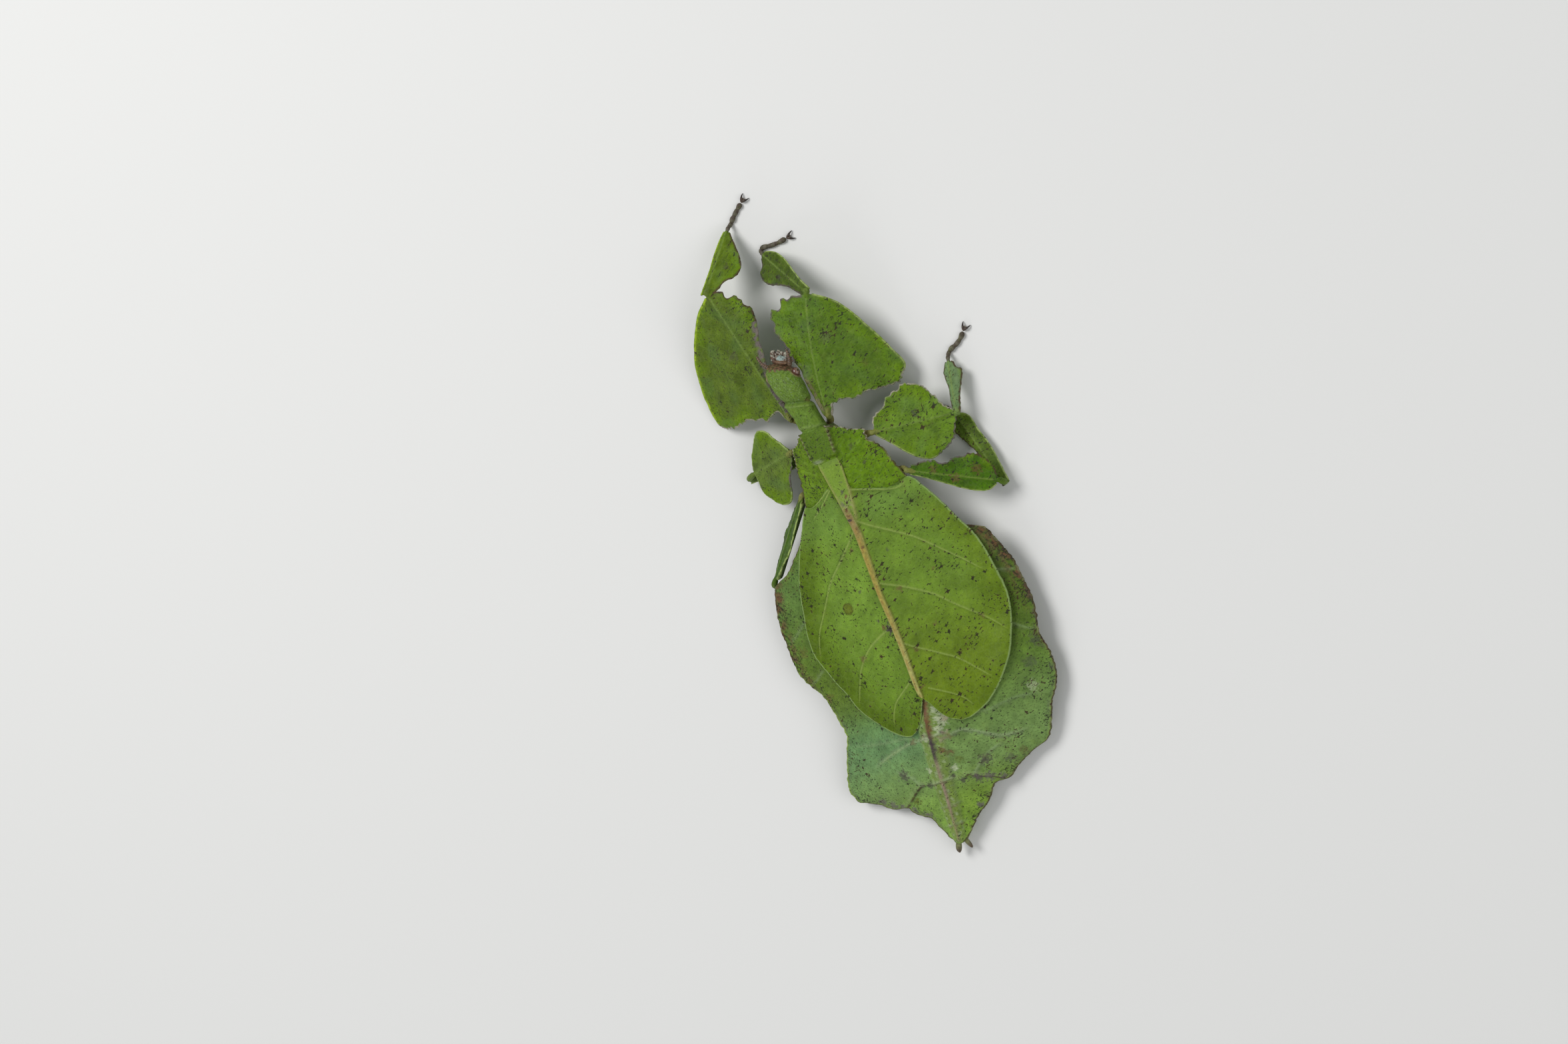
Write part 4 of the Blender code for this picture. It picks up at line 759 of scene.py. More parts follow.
def nibbled(x, y, outward_x, outward_y, depth, seed):
    """A rim's points moved in and out a little, as on a worn leaf."""
    run = np.concatenate([[0], np.cumsum(np.hypot(np.diff(x), np.diff(y)))])
    place = np.stack([run, run * 0], -1)
    move = depth * (0.55 * waves(place, 1.7, seed) + 0.35 * waves(place, 0.75, seed + 1))
    return x + outward_x * move, y + outward_y * move


# Relief and colours of the back
def scutum_edges(x, y):
    """Distance to the mesothorax plate's edge, where its inside is, and both its sides."""
    left = near(x, y, SCUTUM_LEFT)
    right = near(x, y, SCUTUM_RIGHT)
    inside = (left[2] > 0) & (right[2] < 0)
    edge = np.minimum(left[0], right[0])
    return edge, inside, left, right


def thorax_relief(x, y):
    """The plate of the mesothorax with its rows of tubercles, and folds on the sides."""
    edge, inside, left, right = scutum_edges(x, y)
    plate = np.where(inside, 1.0, step(edge, SCUTUM_SLOPE, 0)) * step(y, 20.7, 21.4)
    height = SCUTUM_HEIGHT * plate * (1 - 0.25 * np.where(inside, step(edge, 0.2, 2.2), 0))
    height += 0.16 * bell(edge, 0.26) * plate
    for distance, along, side in (left, right):
        place = along * TUBERCLES
        middle = (place % 1 - 0.5) * 6.0 / TUBERCLES
        size = 0.75 + 0.35 * np.sin(np.floor(place) * 2.3 + 1)
        knob = bell(np.hypot(distance, middle), TUBERCLE_RADIUS) * step(y, 21.4, 21.9)
        height += TUBERCLE_HEIGHT * size * knob
    height += 0.30 * bell(np.hypot((x - SCUTELLUM[0]) / 1.5, (y - SCUTELLUM[1]) / 0.45), 0.8)
    here = np.stack([x, y], -1)
    sides = np.where(inside, 0.0, step(edge, 0.3, 1.5)) * step(y, 8, 16)
    height += sides * (0.10 * waves(here, 3.2, 21) + 0.05 * waves(here, 1.3, 22))
    height += sides * 0.22 * bell(near(x, y, [(8.2, 23.4), (6.0, 21.6), (3.4, 19.8)])[0], 0.35)
    height += sides * 0.22 * bell(near(x, y, [(-8.0, 24.2), (-6.6, 22.0), (-5.0, 20.2)])[0], 0.35)
    return height


def near_midrib(x):
    """1 where the seventh segment's edge is worn smooth, beside the midrib."""
    return step(x, -7.6, -6.4) * step(x, 1.6, 0.6)


def rear_relief(x, y):
    """The body's raised strip behind the wings, its midrib and seams, and the folds beside it."""
    away = np.abs(x - profile(MIDLINE, y))
    half = profile(STRIP_HALF_WIDTH, y)
    open_back = step(y, -22, -28)
    strip = step(away, half + 0.5, half - 0.5) * open_back
    height = STRIP_HEIGHT * strip - 0.12 * bell(away - half - 0.7, 0.4) * open_back
    rib = near(x, y, REAR_RIB)[0]
    height += REAR_RIB_HEIGHT * bell(rib, REAR_RIB_WIDTH) * open_back
    for seam in CROSS_SEAMS:
        height -= 0.16 * bell(y - seam - 0.05 * away, 0.16) * step(away, half + 0.8, half)
        height += 0.14 * bell(y - seam - 0.42, 0.3) * step(away, half + 0.6, half - 0.2)
    for width, depth, points in FOLDS:
        distance, along, side = near(x, y, points)
        fade = step(along, 0, 0.1) * step(along, 1, 0.8)
        height += depth * fade * (bell(distance, width) - 0.8 * bell(distance - 0.5, 0.3) * (side < 0))
    distance, _, side = near(x, y, SEVENTH_EDGE)
    over = np.where(side > 0, step(distance, 3.2, 0), step(distance, 0.10, 0))
    ends = 1 - 0.65 * near_midrib(x)
    height += SEVENTH_STEP * over * ends * step(y, -44, -46) * step(np.abs(x + 3.7), 12.5, 11.0)
    return height


def wing_shadowed(x, y):
    """1 where the wings lie over the body."""
    right = step(profile(RIGHT_WING_OUTER, y, 1) - x, 0.5, 2.0)
    left = step(x - profile(LEFT_WING_OUTER, y, 1), 0.5, 2.0)
    return right * left * step(y, 12, 10) * step(y, -34, -32)


def spotted(tint, x, y, spots, seed):
    """Ragged spots over a colour."""
    here = np.stack([x, y], -1)
    ragged = 0.34 * waves(here, 0.9, seed) + 0.22 * waves(here, 0.42, seed + 1)
    for sx, sy, radius, strength, colour in spots:
        distance = np.hypot(x - sx, y - sy) / radius
        tint = mix(tint, colour, strength * step(distance + ragged, 1.05, 0.45))
    return tint


def ramp(table, y):
    """The colour of a table's smooth run along the body."""
    return np.stack([profile([(row[0], row[1][k]) for row in table], y) for k in range(3)], -1)


def back_colour(x, y, rim_distance):
    """Greens along the body, the rear strip, its marks and the worn brown of the rims."""
    here = np.stack([x, y], -1)
    middle = profile(MIDLINE, y)
    away = np.abs(x - middle)
    tint = mix(ramp(LEFT_GREENS, y), ramp(RIGHT_GREENS, y), step(x - middle, -2.5, 2.5))
    tint = tint * (1 + 0.10 * waves(here, 6, 31) + 0.07 * waves(here, 2.2, 32))[..., None]
    edge, inside, left, right = scutum_edges(x, y)
    plate = np.where(inside, 1.0, step(edge, 0.5, 0)) * step(y, 21.0, 21.7)
    tint = mix(tint, SCUTUM, plate * 0.9)
    tint = mix(tint, PLATE_RIM, 0.80 * bell(edge, 0.20) * step(y, 21.2, 21.8))
    for distance, along, side in (left, right):
        middle_of = (along * TUBERCLES % 1 - 0.5) * 6.0 / TUBERCLES
        tint = mix(tint, BROWN_RIM, 0.9 * bell(np.hypot(distance, middle_of), 0.24) * step(y, 21.4, 21.9))
    tint = mix(tint, WHITISH, 0.7 * bell(np.hypot((x - SCUTELLUM[0]) / 1.6, (y - SCUTELLUM[1]) / 0.5), 0.7))
    half = profile(STRIP_HALF_WIDTH, y)
    open_back = step(y, -22, -28)
    strip = step(away, half + 0.4, half - 0.4) * open_back
    tint = mix(tint, STRIP_GREEN, 0.7 * strip)
    tint = mix(tint, STRIP_RIM, 0.45 * bell(away - half, 0.25) * open_back)
    lumps = waves(here, 1.6, 33)
    tint = mix(tint, WHITISH, 0.35 * strip * step(lumps, 0.3, 1.2))
    for seam in CROSS_SEAMS:
        pale = bell(y - seam - 0.4, 0.3) * step(away, half + 1.5, half)
        rusty = bell(y - seam, 0.2) * step(away, half + 0.8, half)
        tint = mix(tint, WHITISH, (0.5 if seam > -50 else 0.2) * pale)
        tint = mix(tint, RED_BROWN, 0.55 * rusty * step(lumps, -0.4, 0.5))
    rib, _, side = near(x, y, REAR_RIB)
    rib_tint = mix(mix(RED_BROWN, PURPLE, step(y, -36, -39)), PINK_BROWN, step(y, -41.5, -44))
    rib_tint = mix(rib_tint, TAIL_RIB, step(y, -51, -57))
    tint = mix(tint, PINK_BROWN, 0.30 * bell(rib, 0.60) * open_back)
    wide = 0.20 * bell(y + 39.9, 1.8) - 0.14 * step(y, -50, -57)
    tint = mix(tint, rib_tint, 0.92 * step(rib - wide, 0.44, 0.20) * open_back)
    streaks = bell(np.abs(rib - 0.42), 0.16) * step(y, -30, -31) * step(y, -40, -37)
    tint = mix(tint, RED_BROWN, 0.8 * streaks * step(lumps, -0.8, 0.2))
    rusty = step(rib, 1.15, 0.5) * (side > 0) * step(y, -29, -31) * step(y, -38, -36.5)
    tint = mix(tint, RUST, 0.75 * rusty * step(waves(here, 0.9, 46), -0.5, 0.3))
    distance, _, side = near(x, y, SEVENTH_EDGE)
    near_edge = step(y, -44, -46) * step(np.abs(x + 3.7), 12.5, 11.0)
    dark = (1 - 0.85 * near_midrib(x)) * step(lumps, -1.6, -0.3)
    tint = mix(tint, BROWN_RIM, 0.90 * step(distance, 0.28, 0.1) * near_edge * dark)
    tint = mix(tint, SEVENTH_PALE, 0.5 * bell(distance - 0.6, 0.4) * (side > 0) * near_edge)
    for width, depth, points in FOLDS:
        distance, along, side = near(x, y, points)
        strength = min(0.7, 2.8 * depth) * step(along, 1, 0.7)
        tint = mix(tint, FOLD_PALE, strength * bell(distance, 0.26))
        # Painted shade: patchy grey on the low side of each fold, in the groove beside it
        painted_fold_shade = bell(distance - 0.5, 0.26) * (side < 0)
        tint = mix(tint, GREY_RIM, 0.5 * strength * painted_fold_shade * step(lumps, -0.6, 0.5))
    tint = spotted(tint, x, y, BODY_SPOTS, 34)
    worn = step(waves(here, 2.6, 35) + 0.6 * waves(here, 0.8, 36), -0.35, 0.45)
    band = step(y, 5, -2) * step(y, -24, -14)
    tint = mix(tint, RED_BROWN, 0.90 * worn * band * step(rim_distance, 3.0, 0.4))
    rear = step(y, -12, -16) * step(y, -59, -55)
    tint = mix(tint, PURPLE, 0.50 * worn * rear * step(rim_distance, 1.6, 0.2))
    flecks = step(waves(here, 0.8, 40), 0.35, 0.8)
    tint = mix(tint, SPECK_BROWN, 0.85 * flecks * band * step(rim_distance, 2.8, 0.8))
    tint = mix(tint, REAR_RIM, 0.5 * step(rim_distance, 0.8, 0.2) * step(y, -20, -30))
    rim = step(rim_distance, 0.42, 0.16)
    rim_tint = mix(BROWN_RIM, DRY_RIM, step(waves(here, 3.0, 37), 0.2, 1.0))
    # The left rear rim: its own yellow-green, brightened by painted light shining through the thin edge
    fresh = step(x, 0, -2) * step(y, -15, -19) * step(y, -46.5, -45)
    rim_tint = mix(rim_tint, RIM_YELLOW_AND_PAINTED_GLOW, 0.9 * fresh)
    rim_tint = mix(rim_tint, WHITE_RIM, step(y, 20, 23) * step(waves(here, 0.8, 38), -0.4, 0.4))
    return mix(tint, rim_tint, 0.85 * rim)


def trunk_specks(x, y, rim_distance):
    """How thickly specks lie on the trunk."""
    density = 0.42 + 0.55 * step(rim_distance, 5, 0.8) * step(y, 6, 0)
    density = density + 0.30 * step(y, 9, 13) - 0.20 * step(y, -28, -34)
    for cx, cy, radius in SPECK_HERDS:
        density = density + 1.4 * bell(np.hypot(x - cx, y - cy), radius)
    return np.clip(density + 0.15 * waves(np.stack([x, y], -1), 5, 39), 0, 1.8)


def trunk():
    """The trunk from the mesothorax to the tail: one closed sheet with a rounded core."""
    rows = stations([LEFT_RIM, RIGHT_RIM], lambda s: np.where(s > 11, 0.15, 0.32))
    middle = profile(MIDLINE, rows)
    count = max(20, int(TRUNK_COLUMNS / FINE))
    t = np.linspace(0, 1, count)
    share = t + 0.55 * (t - t * t)
    share[-1] = 1.0
    halves = []
    for rim, seed, sign in ((LEFT_RIM, 5, -1), (RIGHT_RIM, 7, 1)):
        x = profile(rim, rows, 1)
        y = profile(rim, rows, 2)
        x, y = nibbled(x, y, sign, 0, 0.16, seed)
        spiny = step(rows, 18.6, 20.6) * step(rows, 27.0, 26.4)
        run = np.concatenate([[0], np.cumsum(np.hypot(np.diff(x), np.diff(y)))])
        bite = 0.42 * (teeth(run, 0.95, seed + 2) - 0.4) * spiny
        x = x + sign * bite * 0.75
        y = y + bite * 0.65
        px = middle[:, None] + (x - middle)[:, None] * share
        py = rows[:, None] + (y - rows)[:, None] * share**RIB_BOW
        reach = np.hypot(x - middle, y - rows)[:, None] * (1 - share)
        halves.append((px, py, reach, np.broadcast_to(share, px.shape)))
    x, y, reach, share = (np.hstack([a[:, :0:-1], b]) for a, b in zip(*halves))
    relief = thorax_relief(x, y) * step(y, 8, 12) + rear_relief(x, y) * step(y, -20, -24)
    hidden = wing_shadowed(x, y)
    top = back(x, y) + relief * (1 - hidden) - 0.05 * hidden
    bottom = belly(x, y, share)
    taper = rim_taper(reach)
    at_rim = step(reach, 1.2, 0)
    thin = np.minimum(top - bottom, np.where(at_rim > 0, 2 * RIM_HALF + 0.8 * (1 - at_rim), 99))
    bottom = np.where(share > 0.9, np.maximum(bottom, top - thin), bottom)
    middle_height = (top + bottom) / 2
    top = middle_height + (top - middle_height) * taper
    bottom = np.maximum(middle_height - (middle_height - bottom) * taper, 0)
    points, faces = shell(np.stack([x, y, top], -1), np.stack([x, y, bottom], -1))
    above = back_colour(x, y, reach)
    under = mix(above, UNDERSIDE, 0.6)
    tint = np.vstack([above.reshape(-1, 3), under.reshape(-1, 3)])
    density = trunk_specks(x, y, reach).ravel()
    return points, faces, tint, np.concatenate([density, density * 0.6])


# Head and prothorax
def capsule_point(y, angle):
    """A point on the smooth head or prothorax, with y the station of its ring."""
    c = np.cos(angle)
    s = np.sin(angle)
    square = (np.abs(c) ** SQUARENESS + np.abs(s) ** SQUARENESS) ** (-1 / SQUARENESS)
    half = profile(HEAD_TABLE, y, 1)
    tall = np.where(s > 0, profile(HEAD_TABLE, y, 2), profile(HEAD_TABLE, y, 3))
    narrow = 1 - 0.24 * np.maximum(0, -s)
    across = half * c * square * narrow
    turn = profile(TURN, y)
    x = profile(NECK_LINE, y) + across
    z = profile(HEAD_TABLE, y, 4) + tall * s * square
    return np.stack([x, y - turn * across, z], -1), across, s


def head_relief(y, across, s, points):
    """Grooves, rims and granules that stand out from the smooth capsule."""
    upper = step(s, -0.1, 0.35)
    on_head = step(y, HEAD_START, HEAD_START + 0.6)
    on_neck = 1 - on_head
    out = np.zeros(np.shape(y))
    out += on_neck * upper * 0.16 * bell(y - 32.7, 0.28)
    out += on_neck * upper * 0.14 * bell(y - 28.0, 0.35)
    out -= on_neck * upper * 0.14 * bell(across, 0.22) * step(y, 28.3, 29.0) * step(y, 32.4, 31.8)
    out -= on_neck * upper * 0.10 * bell(y - 30.6 + 0.2 * np.abs(across), 0.25)
    out += on_neck * 0.18 * bell(np.abs(across) - 2.35, 0.3) * upper * step(y, 27.6, 28.4)
    fork = np.abs(across) - 0.36 * np.clip(y - 36.6, 0, 9)
    out -= on_head * upper * 0.10 * bell(fork, 0.16) * step(y, 41.2, 40.2) * step(y, 34.4, 35.0)
    out += on_head * upper * 0.16 * bell(np.hypot(across, y - 34.9), 0.55)
    out += on_head * upper * 0.10 * bell(np.hypot(np.abs(across) - 1.3, y - 36.4), 0.8)
    out += on_head * upper * 0.18 * bell(y - 41.1, 0.20)
    out -= on_head * upper * 0.14 * bell(y - 40.55, 0.22)
    grains = waves(points, 0.52, 41, 44)
    out += on_head * 0.085 * step(grains, 0.1, 1.1) * step(s, -0.6, 0.1)
    out += on_neck * 0.03 * grains * upper
    return out


def head():
    """Head capsule and prothorax in one skin, with a rim round each eye's socket."""
    rows = int(210 / FINE)
    sides = int(168 / FINE)
    y = np.concatenate([np.linspace(CAPSULE[0][0], 40.6, int(rows * 0.82), endpoint=False),
                        np.linspace(40.6, CAPSULE[-1][0], rows - int(rows * 0.82))])
    angle = np.linspace(0, math.tau, sides, endpoint=False)
    y, angle = np.meshgrid(y, angle, indexing="ij")
    points, across, s = capsule_point(y, angle)
    centre = np.stack([profile(NECK_LINE, y), y, profile(HEAD_TABLE, y, 4)], -1)
    way = points - centre
    way /= np.linalg.norm(way, axis=-1, keepdims=True)
    moved = head_relief(y, across, s, points)
    ring_tint = np.zeros(np.shape(y))
    for place, _ in EYES.values():
        distance = np.linalg.norm(points - np.array(place), axis=-1)
        moved += 0.24 * bell(distance - EYE_RADIUS - 0.28, 0.24)
        moved -= 0.25 * step(distance, EYE_RADIUS + 0.1, EYE_RADIUS - 0.5)
        ring_tint = np.maximum(ring_tint, step(distance, EYE_RADIUS + 0.75, EYE_RADIUS + 0.2))
    points = points + way * moved[..., None]
    neck = step(y, HEAD_START + 0.5, HEAD_START - 0.5)
    tint = mix(HEAD_GREEN, PRONOTUM, neck)
    tint = tint * (1 + 0.08 * waves(points, 1.6, 42) + 0.06 * waves(points, 0.6, 43))[..., None]
    grains = waves(points, 0.52, 41, 44)
    tint = mix(tint, GRAIN_PALE, 0.55 * step(grains, 0.3, 1.2) * (1 - neck))
    tint = mix(tint, GRAIN_DARK, 0.40 * step(grains, -0.4, -1.3) * (1 - neck))
    tint = mix(tint, NECK_GROOVE, 0.55 * bell(y - HEAD_START, 0.35))
    tint = mix(tint, NECK_RIM, 0.45 * bell(y - 32.8, 0.22) + 0.4 * bell(y - 28.0, 0.3))
    face = step(y + 0.25 * waves(points, 1.1, 45), 40.4, 40.9)
    blotchy = step(waves(points, 0.7, 44), -0.6, 0.5)
    tint = mix(tint, mix(FACE_BROWN, FACE_DARK, blotchy), 0.92 * face)
    tint = mix(tint, EYE_RING, 0.75 * ring_tint)
    tint = mix(tint, HEAD_SPOT, 0.5 * bell(np.hypot(across - 0.9, y - 38.2), 0.35))
    tint = mix(tint, RED_BROWN, 0.7 * bell(np.hypot(np.abs(across) - 2.5, y - 33.8), 0.35) * step(s, 0, 0.4))
    under = step(s, -0.2, -0.7)
    tint = mix(tint, HEAD_UNDER, 0.5 * under)
    body_points, faces = loft(points)
    ends = np.array([tint[0].mean(0), tint[-1].mean(0)])
    flat = np.vstack([tint.reshape(-1, 3), ends])
    density = np.full(y.size + 2, 0.06)
    return body_points, faces, flat, density


# Tubes: hips, feet, feelers and claws
def tube(path, radii, sides=20, spacing=0.12, flatten=None):
    """A closed tube along a smooth path, whose radius runs smoothly between the given ones."""
    line = smooth_line(np.hstack([np.asarray(path, float), np.asarray(radii, float)[:, None]]), 10)
    line = along_line(line, spacing=spacing * FINE)
    centres = line[:, :3]
    radius = line[:, 3]
    ahead = np.gradient(centres, axis=0)
    ahead /= np.linalg.norm(ahead, axis=1, keepdims=True)
    across = np.cross(ahead, np.array([0.02, 0.03, 1.0]))
    across /= np.linalg.norm(across, axis=1, keepdims=True)
    upward = np.cross(across, ahead)
    angle = np.linspace(0, math.tau, sides, endpoint=False)
    run = np.linspace(0, 1, len(line))
    tip = np.sqrt(np.clip(np.minimum(run, 1 - run) * len(line) * spacing * FINE / radius, 0.02, 1))
    spread = (radius * tip)[:, None, None]
    rings = (centres[:, None] + spread * (np.cos(angle)[None, :, None] * across[:, None]
                                          + np.sin(angle)[None, :, None] * upward[:, None]))
    if flatten is not None:
        rings[..., 2] = np.maximum(rings[..., 2], flatten)
    points, faces = loft(rings)
    share = np.concatenate([np.repeat(run, sides), [0, 1]])
    return points, faces, share


def beads(path, radii, count, waist, **more):
    """A tube of several joints, narrower between them."""
    line = smooth_line(np.hstack([np.asarray(path, float), np.asarray(radii, float)[:, None]]), 12)
    run = np.linspace(0, 1, len(line))
    line[:, 3] *= 1 - waist * (1 - np.abs(np.sin(math.pi * count * run)) ** 0.5)
    keep = along_line(line, spacing=0.10)
    return tube(keep[:, :3], keep[:, 3], **more)


def ball(centre, size, sides=28, rows=18, way=None):
    """An egg of these half lengths, with its third axis along the given way."""
    rows = max(8, int(rows / FINE))
    polar = np.linspace(0, math.pi, rows + 2)[1:-1]
    turn = np.linspace(0, math.tau, sides, endpoint=False)
    polar, turn = np.meshgrid(polar, turn, indexing="ij")
    rings = np.stack([np.sin(polar) * np.cos(turn), np.sin(polar) * np.sin(turn), np.cos(polar)], -1)
    rings = rings * np.asarray(size, float)
    if way is not None:
        turned = np.array(Vector((0, 0, 1)).rotation_difference(Vector(way)).to_matrix())
        rings = rings @ turned.T
    return loft(rings + np.asarray(centre, float))


# Legs
HIP_FOREMOST = 25.5
HIP_RADII = [0.70, 0.70, 0.72, 0.74, 0.58, 0.62, 0.40]
KNEE_RADIUS = 0.62


def unit(v):
    """The same direction with length 1."""
    return v / np.linalg.norm(v)


def edge_styles(edges, bites, run, seed):
    """Rim colour, rim width and tooth height along one edge of a lobe."""
    share = run / run[-1]
    place = np.stack([run, run * 0], -1)
    colour = np.zeros((len(run), 3))
    width = np.zeros(len(run))
    bite = np.zeros(len(run))
    for start, end, rim, wide, depth, pitch in edges:
        here = (share >= start) & (share <= end)
        colour[here] = rim
        width[here] = wide
        fade = step(share, start, start + 0.03) * step(share, end, end - 0.03) if depth else 0
        ragged = 0.12 * waves(place, 0.75, seed + 5) + 0.26 * waves(place, 1.7, seed + 6)
        bite = np.where(here, depth * (teeth(run, pitch, seed) - 0.35 + ragged) * fade, bite)
    for middle, half, depth in bites:
        hollow = np.clip(1 - ((run - middle * run[-1]) / half) ** 2, 0, 1)
        bite = bite * (1 - 0.5 * hollow) - depth * hollow
    return colour, width, bite


def lobed(name, start, end, right, left, fall, radius, up, columns=46, spacing=0.24):
    """A length of leg: a shaft with a thin lobe on each side, toothed where it is in life."""
    start = np.array(start, float)
    way = unit(np.array(end, float) - start)
    level = unit(np.cross(way, np.array(up, float)))
    lift = unit(np.cross(level, way))
    angles = np.radians(fall)
    outs = (level * math.cos(angles[0]) - lift * math.sin(angles[0]),
            -level * math.cos(angles[1]) - lift * math.sin(angles[1]))
    first = right[0][0]
    length = right[-1][0] - first
    count = len(right)
    order = np.arange(count, 0, -1)
    rails = [[(k, a, o) for k, (a, o) in zip(order, edge)] for edge in (right, left)]
    rows = stations(rails, lambda s: np.full(np.shape(s), spacing))
    shaft = first + length * (count - rows) / (count - 1)
    t = np.linspace(0, 1, max(12, int(columns / FINE)))
    share = t + 0.45 * (t - t * t)
    share[-1] = 1.0
    halves = []
    for side, rail in enumerate(rails):
        a = profile(rail, rows, 1)
        o = profile(rail, rows, 2)
        run = np.concatenate([[0], np.cumsum(np.hypot(np.diff(a), np.diff(o)))])
        bites = BITES.get(name, ((), ()))[side]
        rim, width, bite = edge_styles(LOBE_EDGES[name][side], bites, run, 50 + side + len(name))
        slope_a = np.gradient(a)
        slope_o = np.gradient(o)
        norm = np.hypot(slope_a, slope_o) + 1e-9
        along = shaft[:, None] + (a - shaft)[:, None] * share
        out = o[:, None] * share
        reach, place = beside(along, out, a, o)
        steps = np.arange(len(rows))
        move = np.interp(place, steps, bite) * (1 - step(reach, 0, 2.6)) * step(out, 0, 0.8)
        along = along - move * np.interp(place, steps, slope_o / norm)
        out = out + move * np.interp(place, steps, slope_a / norm)
        rim = np.stack([np.interp(place, steps, rim[:, k]) for k in range(3)], -1)
        halves.append((along, out, reach, side, rim, np.interp(place, steps, width)))
    tops, bottoms, tints, densities = [], [], [], []
    cluster = CLUSTERS.get(name, (0.0, 99.0))
    for along, out, reach, side, rim, width in halves:
        local = np.stack([along, out * (1 if side == 0 else -1)], -1)
        crowd = bell(np.hypot(local[..., 0] - cluster[0], local[..., 1] - cluster[1]), CLUSTER_RADIUS)
        density = 0.40 + 0.20 * step(reach, 2.5, 0.5) + 1.7 * crowd
        densities.append(density * (0.35 + 0.65 * step(reach / width, 0.8, 1.3)))
        calm = step(out, 0.4, 3.0)
        lumps = 0.20 * waves(local, 7, 61 + len(name)) + 0.07 * waves(local, 2.6, 62)
        sag = -0.0045 * out**2
        centre = (start + way * along[..., None] + outs[side] * out[..., None]
                  + lift * ((lumps * calm + sag)[..., None]))
        ends = step(shaft - first, 0, 1.0) * step(first + length - shaft, 0, 0.8)
        from_hip = np.clip((shaft - first) / length, 0, 1)[:, None]
        bow = SHAFT_BOW.get(name, 0.0) * np.sin(math.pi * from_hip) ** 0.8
        off_shaft = local[..., 1] - bow
        ridge = bell(off_shaft, 0.55) * (0.35 + 0.65 * ends)[:, None]
        half = LOBE_HALF * rim_taper(reach)
        grain = 0.02 * waves(local, 1.0, 63)
        tops.append(centre + lift * (half + grain * calm + SHAFT_RISE * ridge)[..., None])
        deep = (2 * radius - 0.5) * bell(out, 0.9) * (0.35 + 0.65 * ends)[:, None]
        bottoms.append(centre - lift * (half + deep)[..., None])
        tint = np.broadcast_to(np.array(LEG_GREENS[name]), centre.shape)
        tint = tint * (1 + 0.11 * waves(local, 5, 64) + 0.08 * waves(local, 1.8, 65))[..., None]
        yellow = step(reach, 4.5, 0.4) * step(out, 1.0, 4) * step(waves(local, 6, 68), -1.2, 0.4)
        tint = mix(tint, LOBE_YELLOW, 0.74 * yellow)
        tint = mix(tint, LOBE_BLUISH, 0.40 * step(waves(local, 8, 69), 0.0, 1.3))
        tint = mix(tint, SHAFT_PALE, 0.70 * bell(off_shaft, 0.20))
        tint = spotted(tint, local[..., 0], local[..., 1], LEG_SPOTS.get(name, []), 66)
        uneven = step(waves(local, 1.5, 67), -0.8, 0.1)
        shaded = step(reach / width, 2.2, 0.8)
        tint = mix(tint, rim * 0.55, 0.45 * shaded * uneven)
        on_rim = step(reach / width, 1.2, 0.6)
        tints.append(mix(tint, rim, (0.32 + 0.60 * uneven) * on_rim))
    top = np.hstack([tops[1][:, :0:-1], tops[0]])
    bottom = np.hstack([bottoms[1][:, :0:-1], bottoms[0]])
    tint = np.hstack([tints[1][:, :0:-1], tints[0]])
    bottom[..., 2] = np.maximum(bottom[..., 2], 0.05)
    top[..., 2] = np.maximum(top[..., 2], bottom[..., 2] + 0.05)
    points, faces = shell(top, bottom)
    under = mix(tint, LOBE_UNDER, 0.4)
    flat = np.vstack([tint.reshape(-1, 3), under.reshape(-1, 3)])
    density = np.hstack([densities[1][:, :0:-1], densities[0]]).ravel()
    return points, faces, flat, np.concatenate([density, density])


def trunk_core(point):
    """A place deep inside the trunk, level with this point or just behind the trunk's front."""
    y = min(point[1], HIP_FOREMOST)
    middle = profile(MIDLINE, y)
    x = middle + 0.4 * (point[0] - middle)
    return np.array([float(x), y, float(back(x, y) + belly(x, y, 0.5)) / 2])


def hip(leg):
    """From deep inside the body to the first length of the leg, with the small ring at its end."""
    femur = FEMORA[leg]
    start = np.array(femur["start"])
    way = unit(np.array(femur["end"]) - start)
    stops = [np.array(place) for place in COXAE[leg]]
    root = stops[0] - (stops[1] - stops[0]) * 1.2
    core = trunk_core(root)
    path = [core, root, *stops, start, start + way * 1.8]
    points, faces, share = tube(path, HIP_RADII)
    length = np.linalg.norm(np.diff(path, axis=0), axis=1).sum()
    hidden = np.linalg.norm(root - core)
    share = np.clip((share * length - hidden) / (length - hidden), 0, 1)
    tint = mix(HIP, HIP_END, step(share, 0.3, 1.0))
    tint = mix(tint, RED_BROWN, 0.45 * bell(share - 0.56, 0.04))
    return points, faces, tint, 0.3


def knee(leg):
    """The short bend between the two lobed lengths of a leg."""
    femur = FEMORA[leg]
    tibia = TIBIAE[leg]
    end = np.array(femur["end"], float)
    start = np.array(tibia["start"], float)
    before = unit(end - np.array(femur["start"]))
    after = unit(np.array(tibia["end"]) - start)
    path = [end - before * 1.6, end - before * 0.4, (end + start) / 2 + 0.2 * (before - after),
            start + after * 0.5, start + after * 2.2]
    points, faces, share = tube(path, [KNEE_RADIUS * part for part in (0.7, 0.95, 1, 0.85)] + [0.45])
    tint = mix(LEG_GREENS["femur_" + leg], LEG_GREENS["tibia_" + leg], share)
    return points, faces, mix(tint, KNEE_PALE, 0.35 * bell(share - 0.5, 0.2)), 0.3


